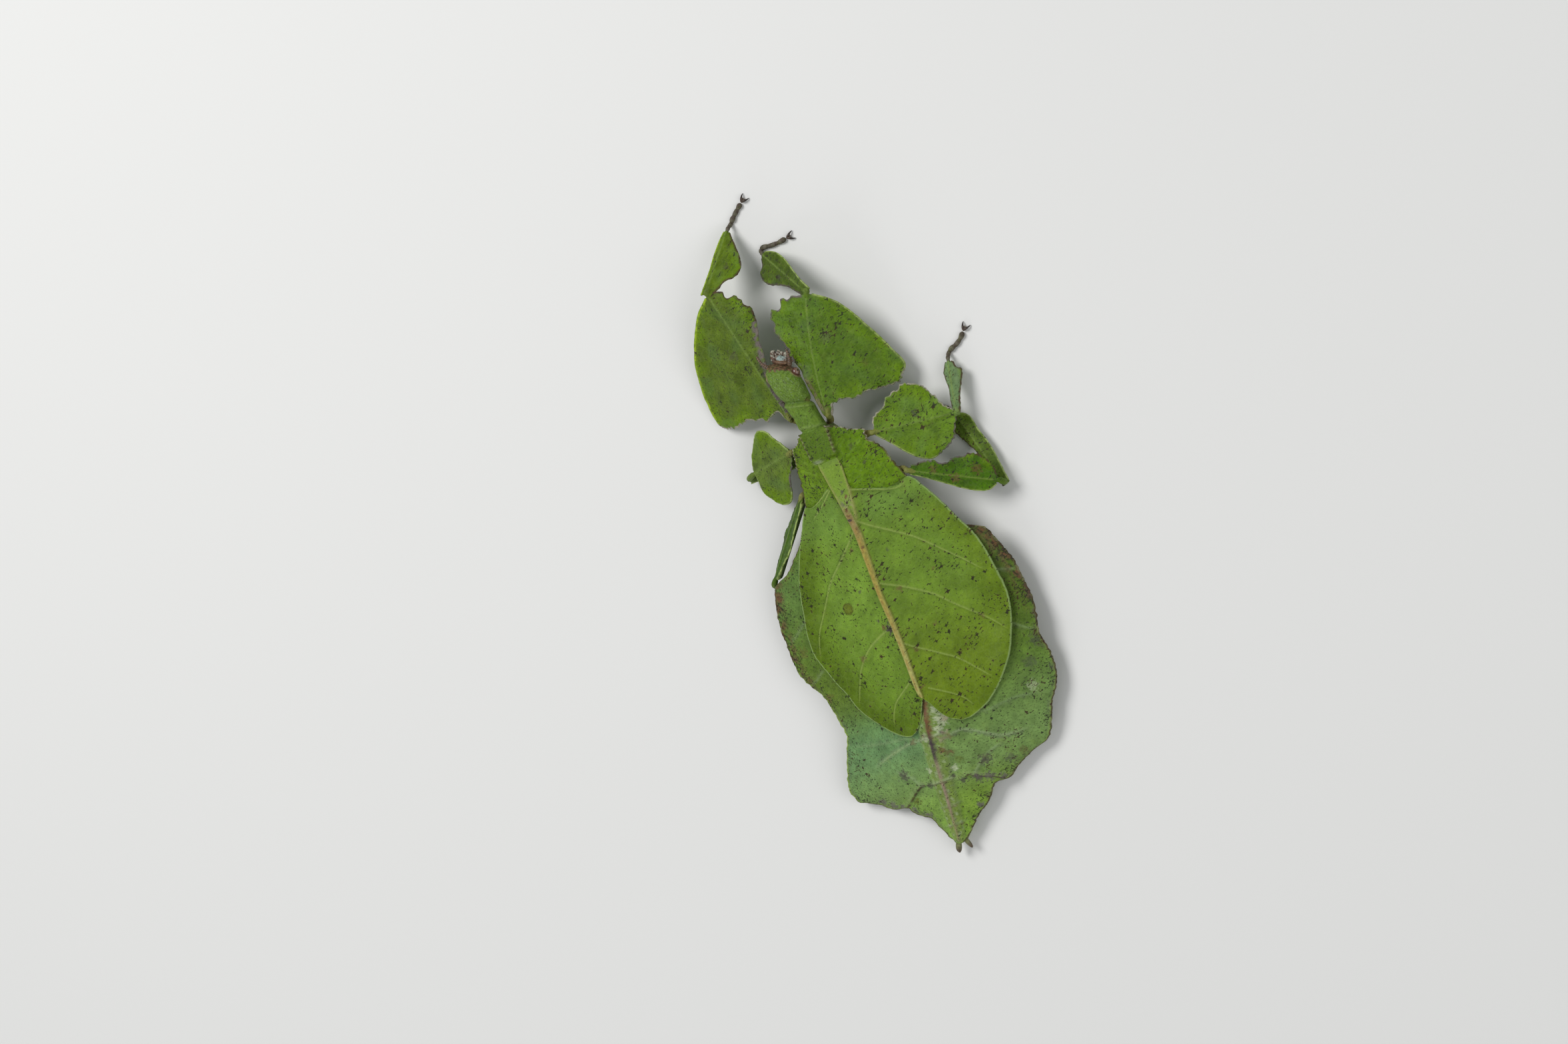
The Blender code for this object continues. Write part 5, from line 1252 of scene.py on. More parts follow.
def foot(leg):
    """Five joints that lie on the floor, flat beneath."""
    ankle = np.array(TIBIAE[leg]["end"], float)
    way = unit(ankle - np.array(TIBIAE[leg]["start"]))
    path = [ankle - way * 0.9, ankle + (0, 0, -0.2)]
    radii = [0.42, 0.46]
    for (x, y), radius in zip(FEET[leg], FOOT_RADII):
        path.append((x, y, radius - FOOT_SINK))
        radii.append(radius)
    points, faces, share = beads(path, radii, 5, 0.34, sides=22, flatten=0.0)
    tint = mix(FOOT_BROWN, FOOT_PALE, step(np.sin(share * math.pi * 10), -0.2, 0.9))
    return points, faces, tint, 0.1


def claws(leg):
    """Two curved claws and the soft pad between them."""
    path = FEET[leg]
    tip = np.array([*path[-1], CLAW_HEIGHT])
    ahead = unit(tip - np.array([*path[-2], CLAW_HEIGHT]))
    root = tip + ahead * 0.35
    parts = []
    for sign in (-1, 1):
        turn = math.radians(CLAW_SPREAD) * sign
        way = np.array([ahead[0] * math.cos(turn) - ahead[1] * math.sin(turn),
                        ahead[0] * math.sin(turn) + ahead[1] * math.cos(turn), 0])
        inner = np.array([ahead[0], ahead[1], 0])
        stops = [root - way * 0.2, root + way * 0.5 + (0, 0, 0.22), root + way * 1.0 + (0, 0, 0.12),
                 root + way * CLAW_LENGTH * 0.85 + inner * 0.12 - (0, 0, 0.12),
                 root + way * CLAW_LENGTH * 0.92 + inner * 0.28 - (0, 0, 0.34)]
        points, faces, share = tube(stops, CLAW_RADII, sides=16, spacing=0.07)
        parts.append((points, faces, mix(CLAW_ROOT, CLAW_TIP, step(share, 0.2, 0.8)), 0.0))
    points, faces = ball(root + ahead * 0.45 - (0, 0, 0.08), CLAW_PAD)
    parts.append((points, faces, FOOT_PAD, 0.0))
    return join(parts)


# One skin from the closed parts
CELLS = 8192
JOIN_REACH = 0.55
JOIN_ROUNDS = 14
JOIN_STRENGTH = 0.7


def union(objects):
    """The union of closed objects, in the first one."""
    body = objects[0]
    for tool in objects[1:]:
        modifier = body.modifiers.new("union", "BOOLEAN")
        modifier.operation = "UNION"
        modifier.solver = "MANIFOLD"
        modifier.object = tool
        evaluated = body.evaluated_get(bpy.context.evaluated_depsgraph_get())
        result = bpy.data.meshes.new_from_object(evaluated)
        body.modifiers.clear()
        old = body.data
        body.data = result
        bpy.data.meshes.remove(old)
        bpy.data.objects.remove(tool)
    return body


def edge_ends(mesh):
    """The two points of every edge."""
    ends = np.empty(len(mesh.edges) * 2, np.int32)
    mesh.edges.foreach_get("vertices", ends)
    return ends.reshape(-1, 2).T


def drop_crumbs(mesh):
    """Removes the specks of surface that a union can leave apart from the body."""
    count = len(mesh.vertices)
    a, b = edge_ends(mesh)
    part = np.arange(count)
    before = part + 1
    while (part != before).any():
        before = part
        low = np.minimum(part[a], part[b])
        part = part.copy()
        np.minimum.at(part, a, low)
        np.minimum.at(part, b, low)
        part = part[part]
    crumbs = np.nonzero(part != np.bincount(part).argmax())[0]
    if len(crumbs) == 0:
        return
    shape = bmesh.new()
    shape.from_mesh(mesh)
    shape.verts.ensure_lookup_table()
    bmesh.ops.delete(shape, geom=[shape.verts[k] for k in crumbs], context="VERTS")
    shape.to_mesh(mesh)
    shape.free()


def cell_keys(places, size, shift=(0, 0, 0)):
    """One number for the cube of space that each place lies in."""
    cells = np.floor(places / size).astype(np.int64) + CELLS // 2 + np.array(shift)
    return (cells[:, 0] * CELLS + cells[:, 1]) * CELLS + cells[:, 2]


def heal(body):
    """Gives the points on the joins their neighbours' colours, and softens the joins."""
    mesh = body.data
    count = len(mesh.vertices)
    colours = np.empty(count * 4, np.float32)
    mesh.attributes["tint"].data.foreach_get("color", colours)
    colours = colours.reshape(-1, 4)
    places = np.empty(count * 3, np.float32)
    mesh.vertices.foreach_get("co", places)
    places = places.reshape(-1, 3)
    fresh = np.abs(colours[:, 3] - MARK) > 0.01
    density = np.empty(count, np.float32)
    mesh.attributes["speck"].data.foreach_get("value", density)
    a, b = edge_ends(mesh)
    known = ~fresh
    for _ in range(6):
        add = np.zeros((count, 5))
        for i, j in ((a, b), (b, a)):
            use = known[j] & ~known[i]
            values = np.column_stack([colours[j[use], :3], density[j[use]], np.ones(use.sum())])
            np.add.at(add, i[use], values)
        got = add[:, 4] > 0
        colours[got, :3] = (add[got, :3] / add[got, 4:]).astype(np.float32)
        density[got] = (add[got, 3] / add[got, 4]).astype(np.float32)
        known |= got
    colours[:, 3] = MARK
    mesh.attributes["tint"].data.foreach_set("color", colours.ravel())
    mesh.attributes["speck"].data.foreach_set("value", density)
    tree = kdtree.KDTree(int(fresh.sum()))
    for i, k in enumerate(np.nonzero(fresh)[0]):
        tree.insert(places[k], i)
    tree.balance()
    size = JOIN_REACH * MM
    around = [(i, j, k) for i in (-1, 0, 1) for j in (-1, 0, 1) for k in (-1, 0, 1)]
    near_joins = np.unique(np.concatenate([cell_keys(places[fresh], size, shift) for shift in around]))
    close = np.nonzero(np.isin(cell_keys(places, size), near_joins))[0]
    weight = np.zeros(count)
    for k in close:
        weight[k] = max(0.0, 1 - tree.find(places[k])[2] / size)
    weight = (weight * JOIN_STRENGTH)[:, None]
    number = np.bincount(a, minlength=count) + np.bincount(b, minlength=count)
    number = np.maximum(number, 1)[:, None]
    moved = places.astype(np.float64)
    for _ in range(JOIN_ROUNDS):
        total = np.stack([np.bincount(a, moved[b, k], count) + np.bincount(b, moved[a, k], count)
                          for k in range(3)], -1)
        moved += weight * (total / number - moved)
    moved[:, 2] = np.maximum(moved[:, 2], 0)
    mesh.vertices.foreach_set("co", moved.astype(np.float32).ravel())
    mesh.update()
    mesh.shade_smooth()


# Forewings
def wing_height(x, y, side):
    """How far the top of a wing's sheet stands over the back."""
    away = np.abs(x - profile(MIDLINE, y))
    lift = WING_LIFT * np.clip(1 - away / WING_LIFT_WIDTH, 0, 1) ** 2
    return lift * step(y, -33, -27) * step(y, 17, 5)


def vein_relief(x, y, veins):
    """Height, paleness and shade of the side veins, which thin out along their way."""
    height = np.zeros(np.shape(x))
    colour = np.zeros(np.shape(x))
    shade = np.zeros(np.shape(x))
    for width, tall, points in veins:
        distance, along, side = near(x, y, points)
        fade = step(along, 1.04, 0.86)
        thick = width * (0.92 - 0.40 * along)
        height += tall * fade * bell(distance, thick)
        colour = np.maximum(colour, fade * bell(distance, thick * 0.95))
        shade = np.maximum(shade, fade * bell(distance - thick * 1.9, thick) * (side < 0))
    return height, colour, shade


def wing_greens(x, y, side, edge):
    """A wing's ground colour."""
    here = np.stack([x, y], -1)
    front, outer, rear = WING_GREENS[side]
    tint = mix(front, rear, step(y, -4, -30))
    tint = mix(tint, outer, 0.8 * step(edge, 8.2 - 1.2 * side, 1))
    tint = mix(tint, WING_FRONT, 0.6 * step(y, 3, 9) * step(np.abs(x), 1.5, 4))
    return tint * (1 + 0.09 * waves(here, 8, 71 + side) + 0.06 * waves(here, 2.4, 73))[..., None]


def wing(side):
    """A forewing: a thin sheet over the back, with raised veins and a pale thin edge."""
    if side > 0:
        inner, outer, veins = RIGHT_WING_INNER, RIGHT_WING_OUTER, RIGHT_VEINS
    else:
        inner, outer, veins = LEFT_WING_INNER, LEFT_WING_OUTER, LEFT_VEINS
    rows = stations([inner, outer], lambda s: np.full(np.shape(s), 0.24))
    t = np.linspace(0, 1, max(30, int(WING_COLUMNS / FINE)))
    share = t - 0.62 * np.sin(math.tau * t) / math.tau
    ix, iy, ox, oy = (profile(line, rows, column) for line in (inner, outer) for column in (1, 2))
    ox, oy = nibbled(ox, oy, side, 0, 0.05, 81 + side)
    x = ix[:, None] + (ox - ix)[:, None] * share
    y = iy[:, None] + (oy - iy)[:, None] * share**1.2
    wide = np.hypot(ox - ix, oy - iy)[:, None]
    end = np.minimum(rows[0] - rows, rows - rows[-1])[:, None]
    outer_edge = np.minimum(wide * (1 - share), end * 2)
    inner_edge = wide * share
    edge = np.minimum(outer_edge, inner_edge + 0.02)
    height, vein, shade = vein_relief(x, y, veins)
    rib = near(x, y, MIDRIB)[0]
    rib_width = profile(MIDRIB_WIDTH, y)
    tan = np.zeros(np.shape(x))
    height += wing_height(x, y, side)
    if side > 0:
        on_rib = step(rib, rib_width + 0.12, rib_width - 0.20)
        height += MIDRIB_HEIGHT * np.sqrt(np.clip(1 - (rib / (rib_width + 0.1)) ** 2, 0, 1))
        height -= 0.10 * bell(rib, 0.13)
        tan = on_rib * step(y, 12.2, 8.0)
        for cord in (LEFT_CORD, RIGHT_CORD):
            distance = near(x, y, cord)[0]
            height += 0.26 * bell(distance, 0.34)
            tan = np.maximum(tan, 0.72 * bell(distance, 0.34) * step(y, 6.5, 8.5))
    else:
        height -= 0.55 * step(inner_edge, 2.4, 0.6) * step(y, -33, -29)
    rise = 0.75 * step(outer_edge, 6, 0) * step(y, 4, -10) * (1 - 0.75 * step(y, -29, -34))
    root = step(y, 9, 16)
    half = WING_THICKNESS / 2 * rim_taper(edge, 0.3) * (1 - 0.5 * root)
    over = 0.34 if side > 0 else 0.0
    over = over * step(inner_edge, 6, 2) * step(y, 13, 8)
    base = back(x, y) + (WING_GAP + WING_THICKNESS / 2) * (1 - 0.5 * root) + rise
    base = base - 0.42 * step(y, 19.4, 21.4)
    top = base + half + height * rim_taper(edge, 0.5) + over
    bottom = np.minimum(base - half + over * 0.9, top - 0.05)
    points, faces = shell(np.stack([x, y, top], -1), np.stack([x, y, bottom], -1))
    tint = wing_greens(x, y, side, outer_edge)
    here = np.stack([x, y], -1)
    if side > 0:
        front_zone = step(y, 9, 11) * (x < profile(FRONT_ZONE_EDGE, y))
        tint = mix(tint, TRIANGLE, 0.85 * front_zone)
        patchy = step(waves(here, 1.2, 74), -0.9, 0.5)
        tint = mix(tint, PINK_BROWN, 0.50 * front_zone * step(y, 14.5, 9.5) * patchy)
    tint = mix(tint, tint * 0.72, shade * 0.6)
    tint = mix(tint, VEIN, 0.80 * vein)
    rib_tint = mix(mix(TAN_FRONT, TAN, step(y, 8, 1)), TAN_LIGHT, step(y, -6, -26))
    rib_tint = rib_tint * (1 + 0.10 * waves(here, 1.1, 75))[..., None]
    rib_tint = mix(rib_tint, RIB_CORE, 0.60 * bell(rib, 0.17) * step(waves(here, 2.0, 78), -1.0, 0.3))
    rib_tint = mix(rib_tint, RIB_SIDE, 0.55 * step(rib, rib_width * 0.55, rib_width))
    tint = mix(tint, rib_tint, 0.95 * tan)
    if side > 0:
        tint = mix(tint, RIB_SHADOW, 0.42 * bell(rib - rib_width - 0.05, 0.12) * step(y, 9, 7))
    else:
        tint = mix(tint, WING_SHADOW, 0.5 * step(inner_edge, 1.6, 0.9) * step(y, -30.5, -28.5))
    tint = spotted(tint, x, y, WING_SPOTS, 76)
    disc = np.hypot(x - OLIVE_DISC[0], y - OLIVE_DISC[1]) + 0.05 * waves(here, 1.0, 79)
    tint = mix(tint, OLIVE, 0.75 * step(disc, 1.25, 1.05))
    tint = mix(tint, DISC_RIM, 0.85 * bell(disc - 1.08, 0.15))
    tint = mix(tint, SCUTUM, 0.7 * step(y, 19.0, 21.6))
    free = np.maximum(step(inner_edge, 0.4, 1.2), step(y, -29.5, -31)) * step(y, 14, 12)
    tint = mix(tint, WING_RIM, 0.85 * step(edge, 0.40, 0.16) * free)
    flat = np.vstack([tint.reshape(-1, 3), mix(tint, UNDERSIDE, 0.4).reshape(-1, 3)])
    density = np.clip(0.50 + 0.16 * waves(here, 6, 77) + 0.20 * step(rib, 6, 1), 0, 1) * (1 - 0.85 * tan)
    return points, faces, flat, np.concatenate([density.ravel(), density.ravel()])


# Small parts of the head
MOUTH_MIDDLE = np.array([-4.10, 42.15, 9.4])
CLYPEUS_SIZE = (1.75, 0.62, 0.80)
LABRUM_SIZE = (1.25, 0.95, 0.40)
JAW_RADII = [0.50, 0.52, 0.40, 0.14]
PALP_RADII = [0.34, 0.42, 0.45, 0.43, 0.28]
PALP_JOINTS = 4
LOW_PALP_RADII = [0.24, 0.25, 0.24, 0.17]
FACE_AHEAD = unit(np.array([-0.30, 0.94, -0.12]))
FACE_RIGHT = unit(np.array([0.94, -0.32, 0.0]))


def antenna(side):
    """A short feeler of nine joints, the first stout and the last long."""
    path = ANTENNAE[side]
    points, faces, share = beads(path, ANTENNA_RADII, ANTENNA_JOINTS, 0.30, spacing=0.05)
    rings = np.abs(np.sin(share * math.pi * ANTENNA_JOINTS))
    tint = mix(FEELER, FEELER_RING, step(rings, 0.8, 0.2))
    return points, faces, mix(tint, FEELER_ROOT, 0.4 * step(share, 0.25, 0.0)), 0.0


def eye(side):
    """An egg-shaped eye with a reddish rim and a dark spot in the middle of its outer face."""
    place, facing = EYES[side]
    facing = unit(np.array(facing))
    points, faces = ball(place, EYE_SIZE, sides=72, rows=54, way=facing)
    way = points - np.array(place)
    way /= np.linalg.norm(way, axis=1, keepdims=True)
    turned = np.degrees(np.arccos(np.clip(way @ facing, -1, 1)))
    tint = mix(EYE_SIDE, EYE_FACE, step(turned, 44, 20))
    tint = mix(tint, EYE_RIM, step(turned, 46, 66))
    stripe = step(np.sin(turned * 0.42), 0.2, 0.9)
    tint = mix(tint, EYE_STRIPE, 0.35 * stripe)
    tint = mix(tint, EYE_SPOT, step(turned, 19, 12))
    return points, faces, tint, 0.0


def face_point(right, ahead, up):
    """A place before the face, measured from the middle of the mouth."""
    return MOUTH_MIDDLE + FACE_RIGHT * right + FACE_AHEAD * ahead + np.array([0, 0, up])


LABRUM = face_point(0.40, 0.75, 0.80)
# The upper palps' stops by side, and the knobs on their joints as (right, ahead, up, radius)
PALPS = {
    -1: [(-1.1, 0.1, -0.5), (-1.4, 0.9, -0.2), (-1.15, 1.7, 0.15), (-0.65, 2.3, 0.35), (-0.05, 2.5, 0.35)],
    1: [(1.3, 0.1, -0.5), (1.95, 0.8, -0.2), (1.95, 1.5, 0.15), (1.5, 2.0, 0.35), (0.95, 2.3, 0.35)]}
LUMPS = [
    (-0.35, 1.75, 0.30, 0.42), (0.65, 1.95, 0.35, 0.44), (1.45, 1.25, 0.35, 0.40),
    (-0.95, 1.15, 0.30, 0.38), (0.15, 2.25, 0.05, 0.36), (-1.65, 0.35, 0.25, 0.42),
    (1.95, 0.25, 0.30, 0.46)]


def plate(centre, size, bulge):
    """A rounded plate that lies before the face."""
    points, faces = ball((0, 0, 0), size, sides=40, rows=26)
    bent = points.copy()
    bent[:, 2] -= bulge * bent[:, 0] ** 2
    placed = centre + bent[:, :1] * FACE_RIGHT + bent[:, 1:2] * FACE_AHEAD + bent[:, 2:] * np.array([0, 0, 1])
    return placed, faces


def mouthparts():
    """Clypeus, notched lip, two jaws and two pairs of jointed palps."""
    parts = []
    points, faces = plate(face_point(0.1, -0.1, 0.7), CLYPEUS_SIZE, 0.10)
    lumps = waves(points, 0.6, 91)
    parts.append((points, faces, mix(CLYPEUS_DARK, CLYPEUS_PALE, step(lumps, 0, 1)), 0.0))
    points, faces = plate(LABRUM, LABRUM_SIZE, 0.14)
    points = points + 0.05 * waves(points, 0.6, 95)[:, None]
    across = (points - LABRUM) @ FACE_RIGHT
    ahead = (points - LABRUM) @ FACE_AHEAD
    edge = np.hypot(across / LABRUM_SIZE[0], ahead / LABRUM_SIZE[1])
    tint = mix(LIP_BLUE, LIP_PALE, step(waves(points, 0.45, 92), -0.4, 0.9))
    tint = mix(tint, LIP_ROOT, 0.6 * step(ahead, -0.3, -0.8))
    parts.append((points, faces, mix(tint, LIP_EDGE, 0.8 * step(edge, 0.80, 0.97)), 0.0))
    for sign in (-1, 1):
        stops = [face_point(1.55 * sign, -0.5, -0.1), face_point(1.65 * sign, 0.6, -0.1),
                 face_point(1.25 * sign, 1.6, -0.2), face_point(0.45 * sign, 2.1, -0.3)]
        points, faces, share = tube(stops, JAW_RADII, sides=24, spacing=0.06)
        tint = mix(JAW, JAW_TIP, step(share, 0.40, 0.9))
        parts.append((points, faces, tint, 0.0))
        palp = [face_point(*place) for place in PALPS[sign]]
        points, faces, share = beads(palp, PALP_RADII, PALP_JOINTS, 0.13, sides=26, spacing=0.05)
        points = points + 0.05 * waves(points, 0.5, 96)[:, None]
        joint = np.abs(np.sin(share * math.pi * PALP_JOINTS))
        tint = mix(PALP_JOINT, PALP_PALE, step(joint, 0.25, 0.70))
        tint = mix(tint, PALP_BLOTCH, 0.85 * step(waves(points, 0.6, 93), 0.0, 0.6))
        parts.append((points, faces, tint, 0.0))
        palp = [face_point(0.5 * sign, 0.3, -0.9), face_point(0.8 * sign, 1.3, -0.8),
                face_point(0.65 * sign, 2.2, -0.55), face_point(0.35 * sign, 2.8, -0.3)]
        points, faces, share = beads(palp, LOW_PALP_RADII, 3, 0.35, sides=18, spacing=0.06)
        parts.append((points, faces, mix(LOW_PALP_ROOT, LOW_PALP_TIP, share), 0.0))
    for right, ahead, up, radius in LUMPS:
        points, faces = plate(face_point(right, ahead, up), (radius * 1.25, radius * 0.85, radius * 0.6), 0.2)
        points = points + 0.09 * waves(points, 0.65, 97)[:, None]
        blotches = step(waves(points, 0.50, 94), -0.4, 0.5)
        parts.append((points, faces, mix(LUMP_DARK, LUMP_PALE, blotches), 0.0))
    return join(parts)


def cercus(side):
    """One of the two small feelers at the tail."""
    points, faces, share = tube(CERCI[side], CERCUS_RADII[side], sides=24, spacing=0.06)
    tint = mix(CERCUS_ROOT, CERCUS_TIP, step(share, 0.35, 0.85))
    return points, faces, tint, 0.0


# Materials
class Nodes:
    """A material's nodes, made by short calls."""

    def __init__(self, name):
        self.material = bpy.data.materials.new(name)
        self.material.use_nodes = True
        self.tree = self.material.node_tree
        self.shader = self.tree.nodes["Principled BSDF"]

    def add(self, kind, settings=None, **inputs):
        """A node with these settings; inputs go by name, or as n0, n1 and so on by number."""
        node = self.tree.nodes.new(kind)
        for key, value in (settings or {}).items():
            setattr(node, key, value)
        for key, value in inputs.items():
            self.put(node, key.replace("_", " "), value)
        return node

    def put(self, node, key, value):
        """Sets an input, or links it where the value is another node's output."""
        numbered = key[0] == "n" and key[1:].isdigit()
        socket = node.inputs[int(key[1:]) if numbered else key]
        if isinstance(value, bpy.types.NodeSocket):
            self.tree.links.new(value, socket)
        else:
            socket.default_value = value

    def math(self, operation, a, b=0.0, clamp=False):
        return self.add("ShaderNodeMath", dict(operation=operation, use_clamp=clamp), n0=a, n1=b).outputs[0]

    def plus(self, a, b):
        return self.math("ADD", a, b)

    def times(self, a, b):
        return self.math("MULTIPLY", a, b)

    def noise(self, where, size, detail, output="Fac", dimensions="3D", **more):
        """Cloudy noise with lumps of this size in millimetres."""
        node = self.add("ShaderNodeTexNoise", dict(noise_dimensions=dimensions), Vector=where,
                        Scale=1.0 / (size * MM), Detail=detail, **more)
        return node.outputs[output]

    def cells(self, where, size, feature="F1", dimensions="3D", **more):
        """Distance to the middle or the edge of random cells of this size in millimetres."""
        node = self.add("ShaderNodeTexVoronoi", dict(voronoi_dimensions=dimensions, feature=feature),
                        Vector=where, Scale=1.0 / (size * MM), **more)
        return node.outputs["Distance"]

    def bump(self, height, strength, depth, **settings):
        """Small relief of this depth in millimetres."""
        node = self.add("ShaderNodeBump", settings, Strength=strength, Distance=depth * MM, Height=height)
        return node.outputs[0]

    def attribute(self, name, output):
        return self.add("ShaderNodeAttribute", dict(attribute_name=name)).outputs[output]

    def shaded(self, tint, light):
        """A tint made lighter or darker."""
        grey = self.add("ShaderNodeCombineColor", n0=light, n1=light, n2=light).outputs[0]
        return self.blend(1.0, tint, grey, "MULTIPLY")

    def between(self, value, low, high):
        """A smooth rise from 0 to 1 between two values."""
        node = self.add("ShaderNodeMapRange", dict(interpolation_type="SMOOTHSTEP"),
                        Value=value, From_Min=low, From_Max=high)
        return node.outputs["Result"]

    def blend(self, share, a, b, kind="MIX"):
        """Two colours mixed or multiplied."""
        node = self.add("ShaderNodeMix", dict(data_type="RGBA", blend_type=kind))
        for key, value in (("n0", share), ("n6", a), ("n7", b)):
            self.put(node, key, value)
        return node.outputs[2]

    def set(self, **values):
        """Inputs of the material's own shader."""
        for key, value in values.items():
            self.put(self.shader, key.replace("_", " "), value)


def rgba(colour):
    """A colour for a node's socket."""
    return (*colour, 1.0)


def stars(n, where, cell, reach, share, density, exponent):
    """Scattered ragged specks, one at most in each cell, more of them where they are dense."""
    node = n.add("ShaderNodeTexVoronoi", dict(voronoi_dimensions="2D", feature="F1", distance="MINKOWSKI"),
                 Vector=where, Scale=1.0 / (cell * MM), Exponent=exponent, Randomness=1.0)
    draws = n.add("ShaderNodeSeparateColor", Color=node.outputs["Color"]).outputs
    chosen = n.math("LESS_THAN", draws[0], n.times(density, share))
    size = n.plus(n.times(draws[1], 0.85), 0.40)
    spot = n.between(n.math("DIVIDE", node.outputs["Distance"], size), reach, reach * 0.55)
    return n.times(chosen, spot)


def squiggles(n, where, density, least):
    """Short winding marks: bits of a fine net, which join up where marks are dense."""
    net = n.cells(where, 0.72, "DISTANCE_TO_EDGE", "2D")
    patch = n.noise(where, 0.60, 1.0, dimensions="2D")
    crowd = n.plus(patch, n.times(n.math("MINIMUM", density, 1.6), 0.17))
    return n.times(n.between(net, 0.17, 0.07), n.between(crowd, least, least + 0.06))


def flat_place(n, place, slant):
    """Places seen from above, with height mixed in so that walls have their own pattern."""
    axes = n.add("ShaderNodeSeparateXYZ", Vector=place).outputs
    lean = n.times(axes[2], slant)
    return n.add("ShaderNodeCombineXYZ", n0=n.plus(axes[0], lean), n1=n.plus(axes[1], lean)).outputs[0]


def leaf_material(name, roughness, pit_strength, marks, speck):
    """Living leaf-like skin: its tints with fine cells, grain, brown specks and a soft gloss."""
    n = Nodes(name)
    place = n.add("ShaderNodeTexCoord").outputs["Object"]
    tint = n.attribute("tint", "Color")
    density = n.attribute("speck", "Fac")
    warp = n.noise(place, 0.6, 2.0, "Color")
    shift = n.add("ShaderNodeVectorMath", dict(operation="SUBTRACT"), n0=warp, n1=(0.5, 0.5, 0.5)).outputs[0]
    scaled = n.add("ShaderNodeVectorMath", dict(operation="SCALE"), n0=shift, Scale=0.55 * MM).outputs[0]
    bent = n.add("ShaderNodeVectorMath", dict(operation="ADD"), n0=place, n1=scaled).outputs[0]
    broad = n.noise(place, 2.4, 5.0, Roughness=0.62)
    fine = n.noise(place, 0.32, 3.0, Roughness=0.6)
    cells = n.cells(bent, 0.34)
    net = n.cells(bent, 1.5, "DISTANCE_TO_EDGE")
    lines = n.between(net, 0.10, 0.0)
    light = n.plus(n.times(broad, 0.62), n.times(fine, 0.44))
    light = n.plus(light, n.times(cells, 0.20))
    colour = n.shaded(tint, n.plus(light, 0.46))
    yellow = n.between(broad, 0.52, 0.74)
    colour = n.blend(n.times(yellow, 0.22), colour, rgba(YELLOW_PATCH))
    colour = n.blend(n.times(lines, 0.10), colour, rgba(NET_PALE))
    flat = flat_place(n, bent, 0.7)
    pits = n.between(n.cells(flat, 0.72, dimensions="2D"), 0.30, 0.10)
    colour = n.blend(n.times(pits, pit_strength), colour, rgba(PIT_GREEN))
    herd = n.noise(flat, 6.0, 2.0, dimensions="2D")
    herd = n.times(density, n.plus(n.times(n.between(herd, 0.38, 0.64), 1.25), 0.30))
    large = stars(n, flat, 2.5, 0.36, marks["large"], herd, 0.50)
    small = stars(n, flat, 1.10, 0.26, marks["small"], herd, 0.62)
    winding = squiggles(n, flat, herd, marks["winding"])
    dust = n.times(stars(n, flat, 0.50, 0.26, marks["dust"], herd, 1.0), 0.6)
    specks = n.math("MAXIMUM", n.math("MAXIMUM", large, winding), n.math("MAXIMUM", small, dust))
    speck_tint = n.blend(n.between(broad, 0.45, 0.6), rgba(speck), rgba(SPECK_RED))
    colour = n.blend(n.times(specks, 0.92), colour, speck_tint)
    rough = n.plus(roughness, n.times(n.math("SUBTRACT", fine, 0.5), 0.22))
    height = n.plus(n.times(cells, 0.5), n.times(fine, 0.5))
    height = n.plus(height, n.times(broad, 0.6))
    height = n.plus(height, n.times(lines, 0.25))
    bump = n.bump(height, 0.55, 0.09)
    n.set(Base_Color=colour, Roughness=rough, Normal=bump)
    n.set(Specular_IOR_Level=0.16, Subsurface_Weight=0.06, Subsurface_Scale=0.5 * MM,
          Subsurface_Radius=(0.8, 1.0, 0.35))
    return n.material


def horn_material(name, roughness, grain):
    """Hard brown skin of feelers, claws and mouth: its tints with a fine uneven grain."""
    n = Nodes(name)
    place = n.add("ShaderNodeTexCoord").outputs["Object"]
    tint = n.attribute("tint", "Color")
    noise = n.noise(place, grain, 4.0)
    light = n.plus(n.times(noise, 1.5), 0.18)
    bump = n.bump(noise, 0.45, 0.05)
    rough = n.plus(roughness, n.times(noise, 0.15))
    n.set(Base_Color=n.shaded(tint, light), Roughness=rough, Normal=bump, Specular_IOR_Level=0.5)
    return n.material


def eye_material():
    """A faceted eye: its tints under a glossy skin of tiny cells."""
    n = Nodes("eye")
    place = n.add("ShaderNodeTexCoord").outputs["Object"]
    tint = n.attribute("tint", "Color")
    cells = n.cells(place, 0.085, Randomness=0.35)
    light = n.plus(n.times(cells, -0.5), 1.2)
    bump = n.bump(cells, 0.5, 0.02, invert=True)
    n.set(Base_Color=n.shaded(tint, light), Roughness=0.22, Normal=bump, Coat_Weight=0.6,
          Coat_Roughness=0.12)
    return n.material


# The object
def show(obj, material, slot, *nodes):
    """Gives a piece its material, its body and the nodes that it stands for."""
    obj.data.materials.clear()
    obj.data.materials.append(material)
    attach(obj, "root")
    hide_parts(*nodes)


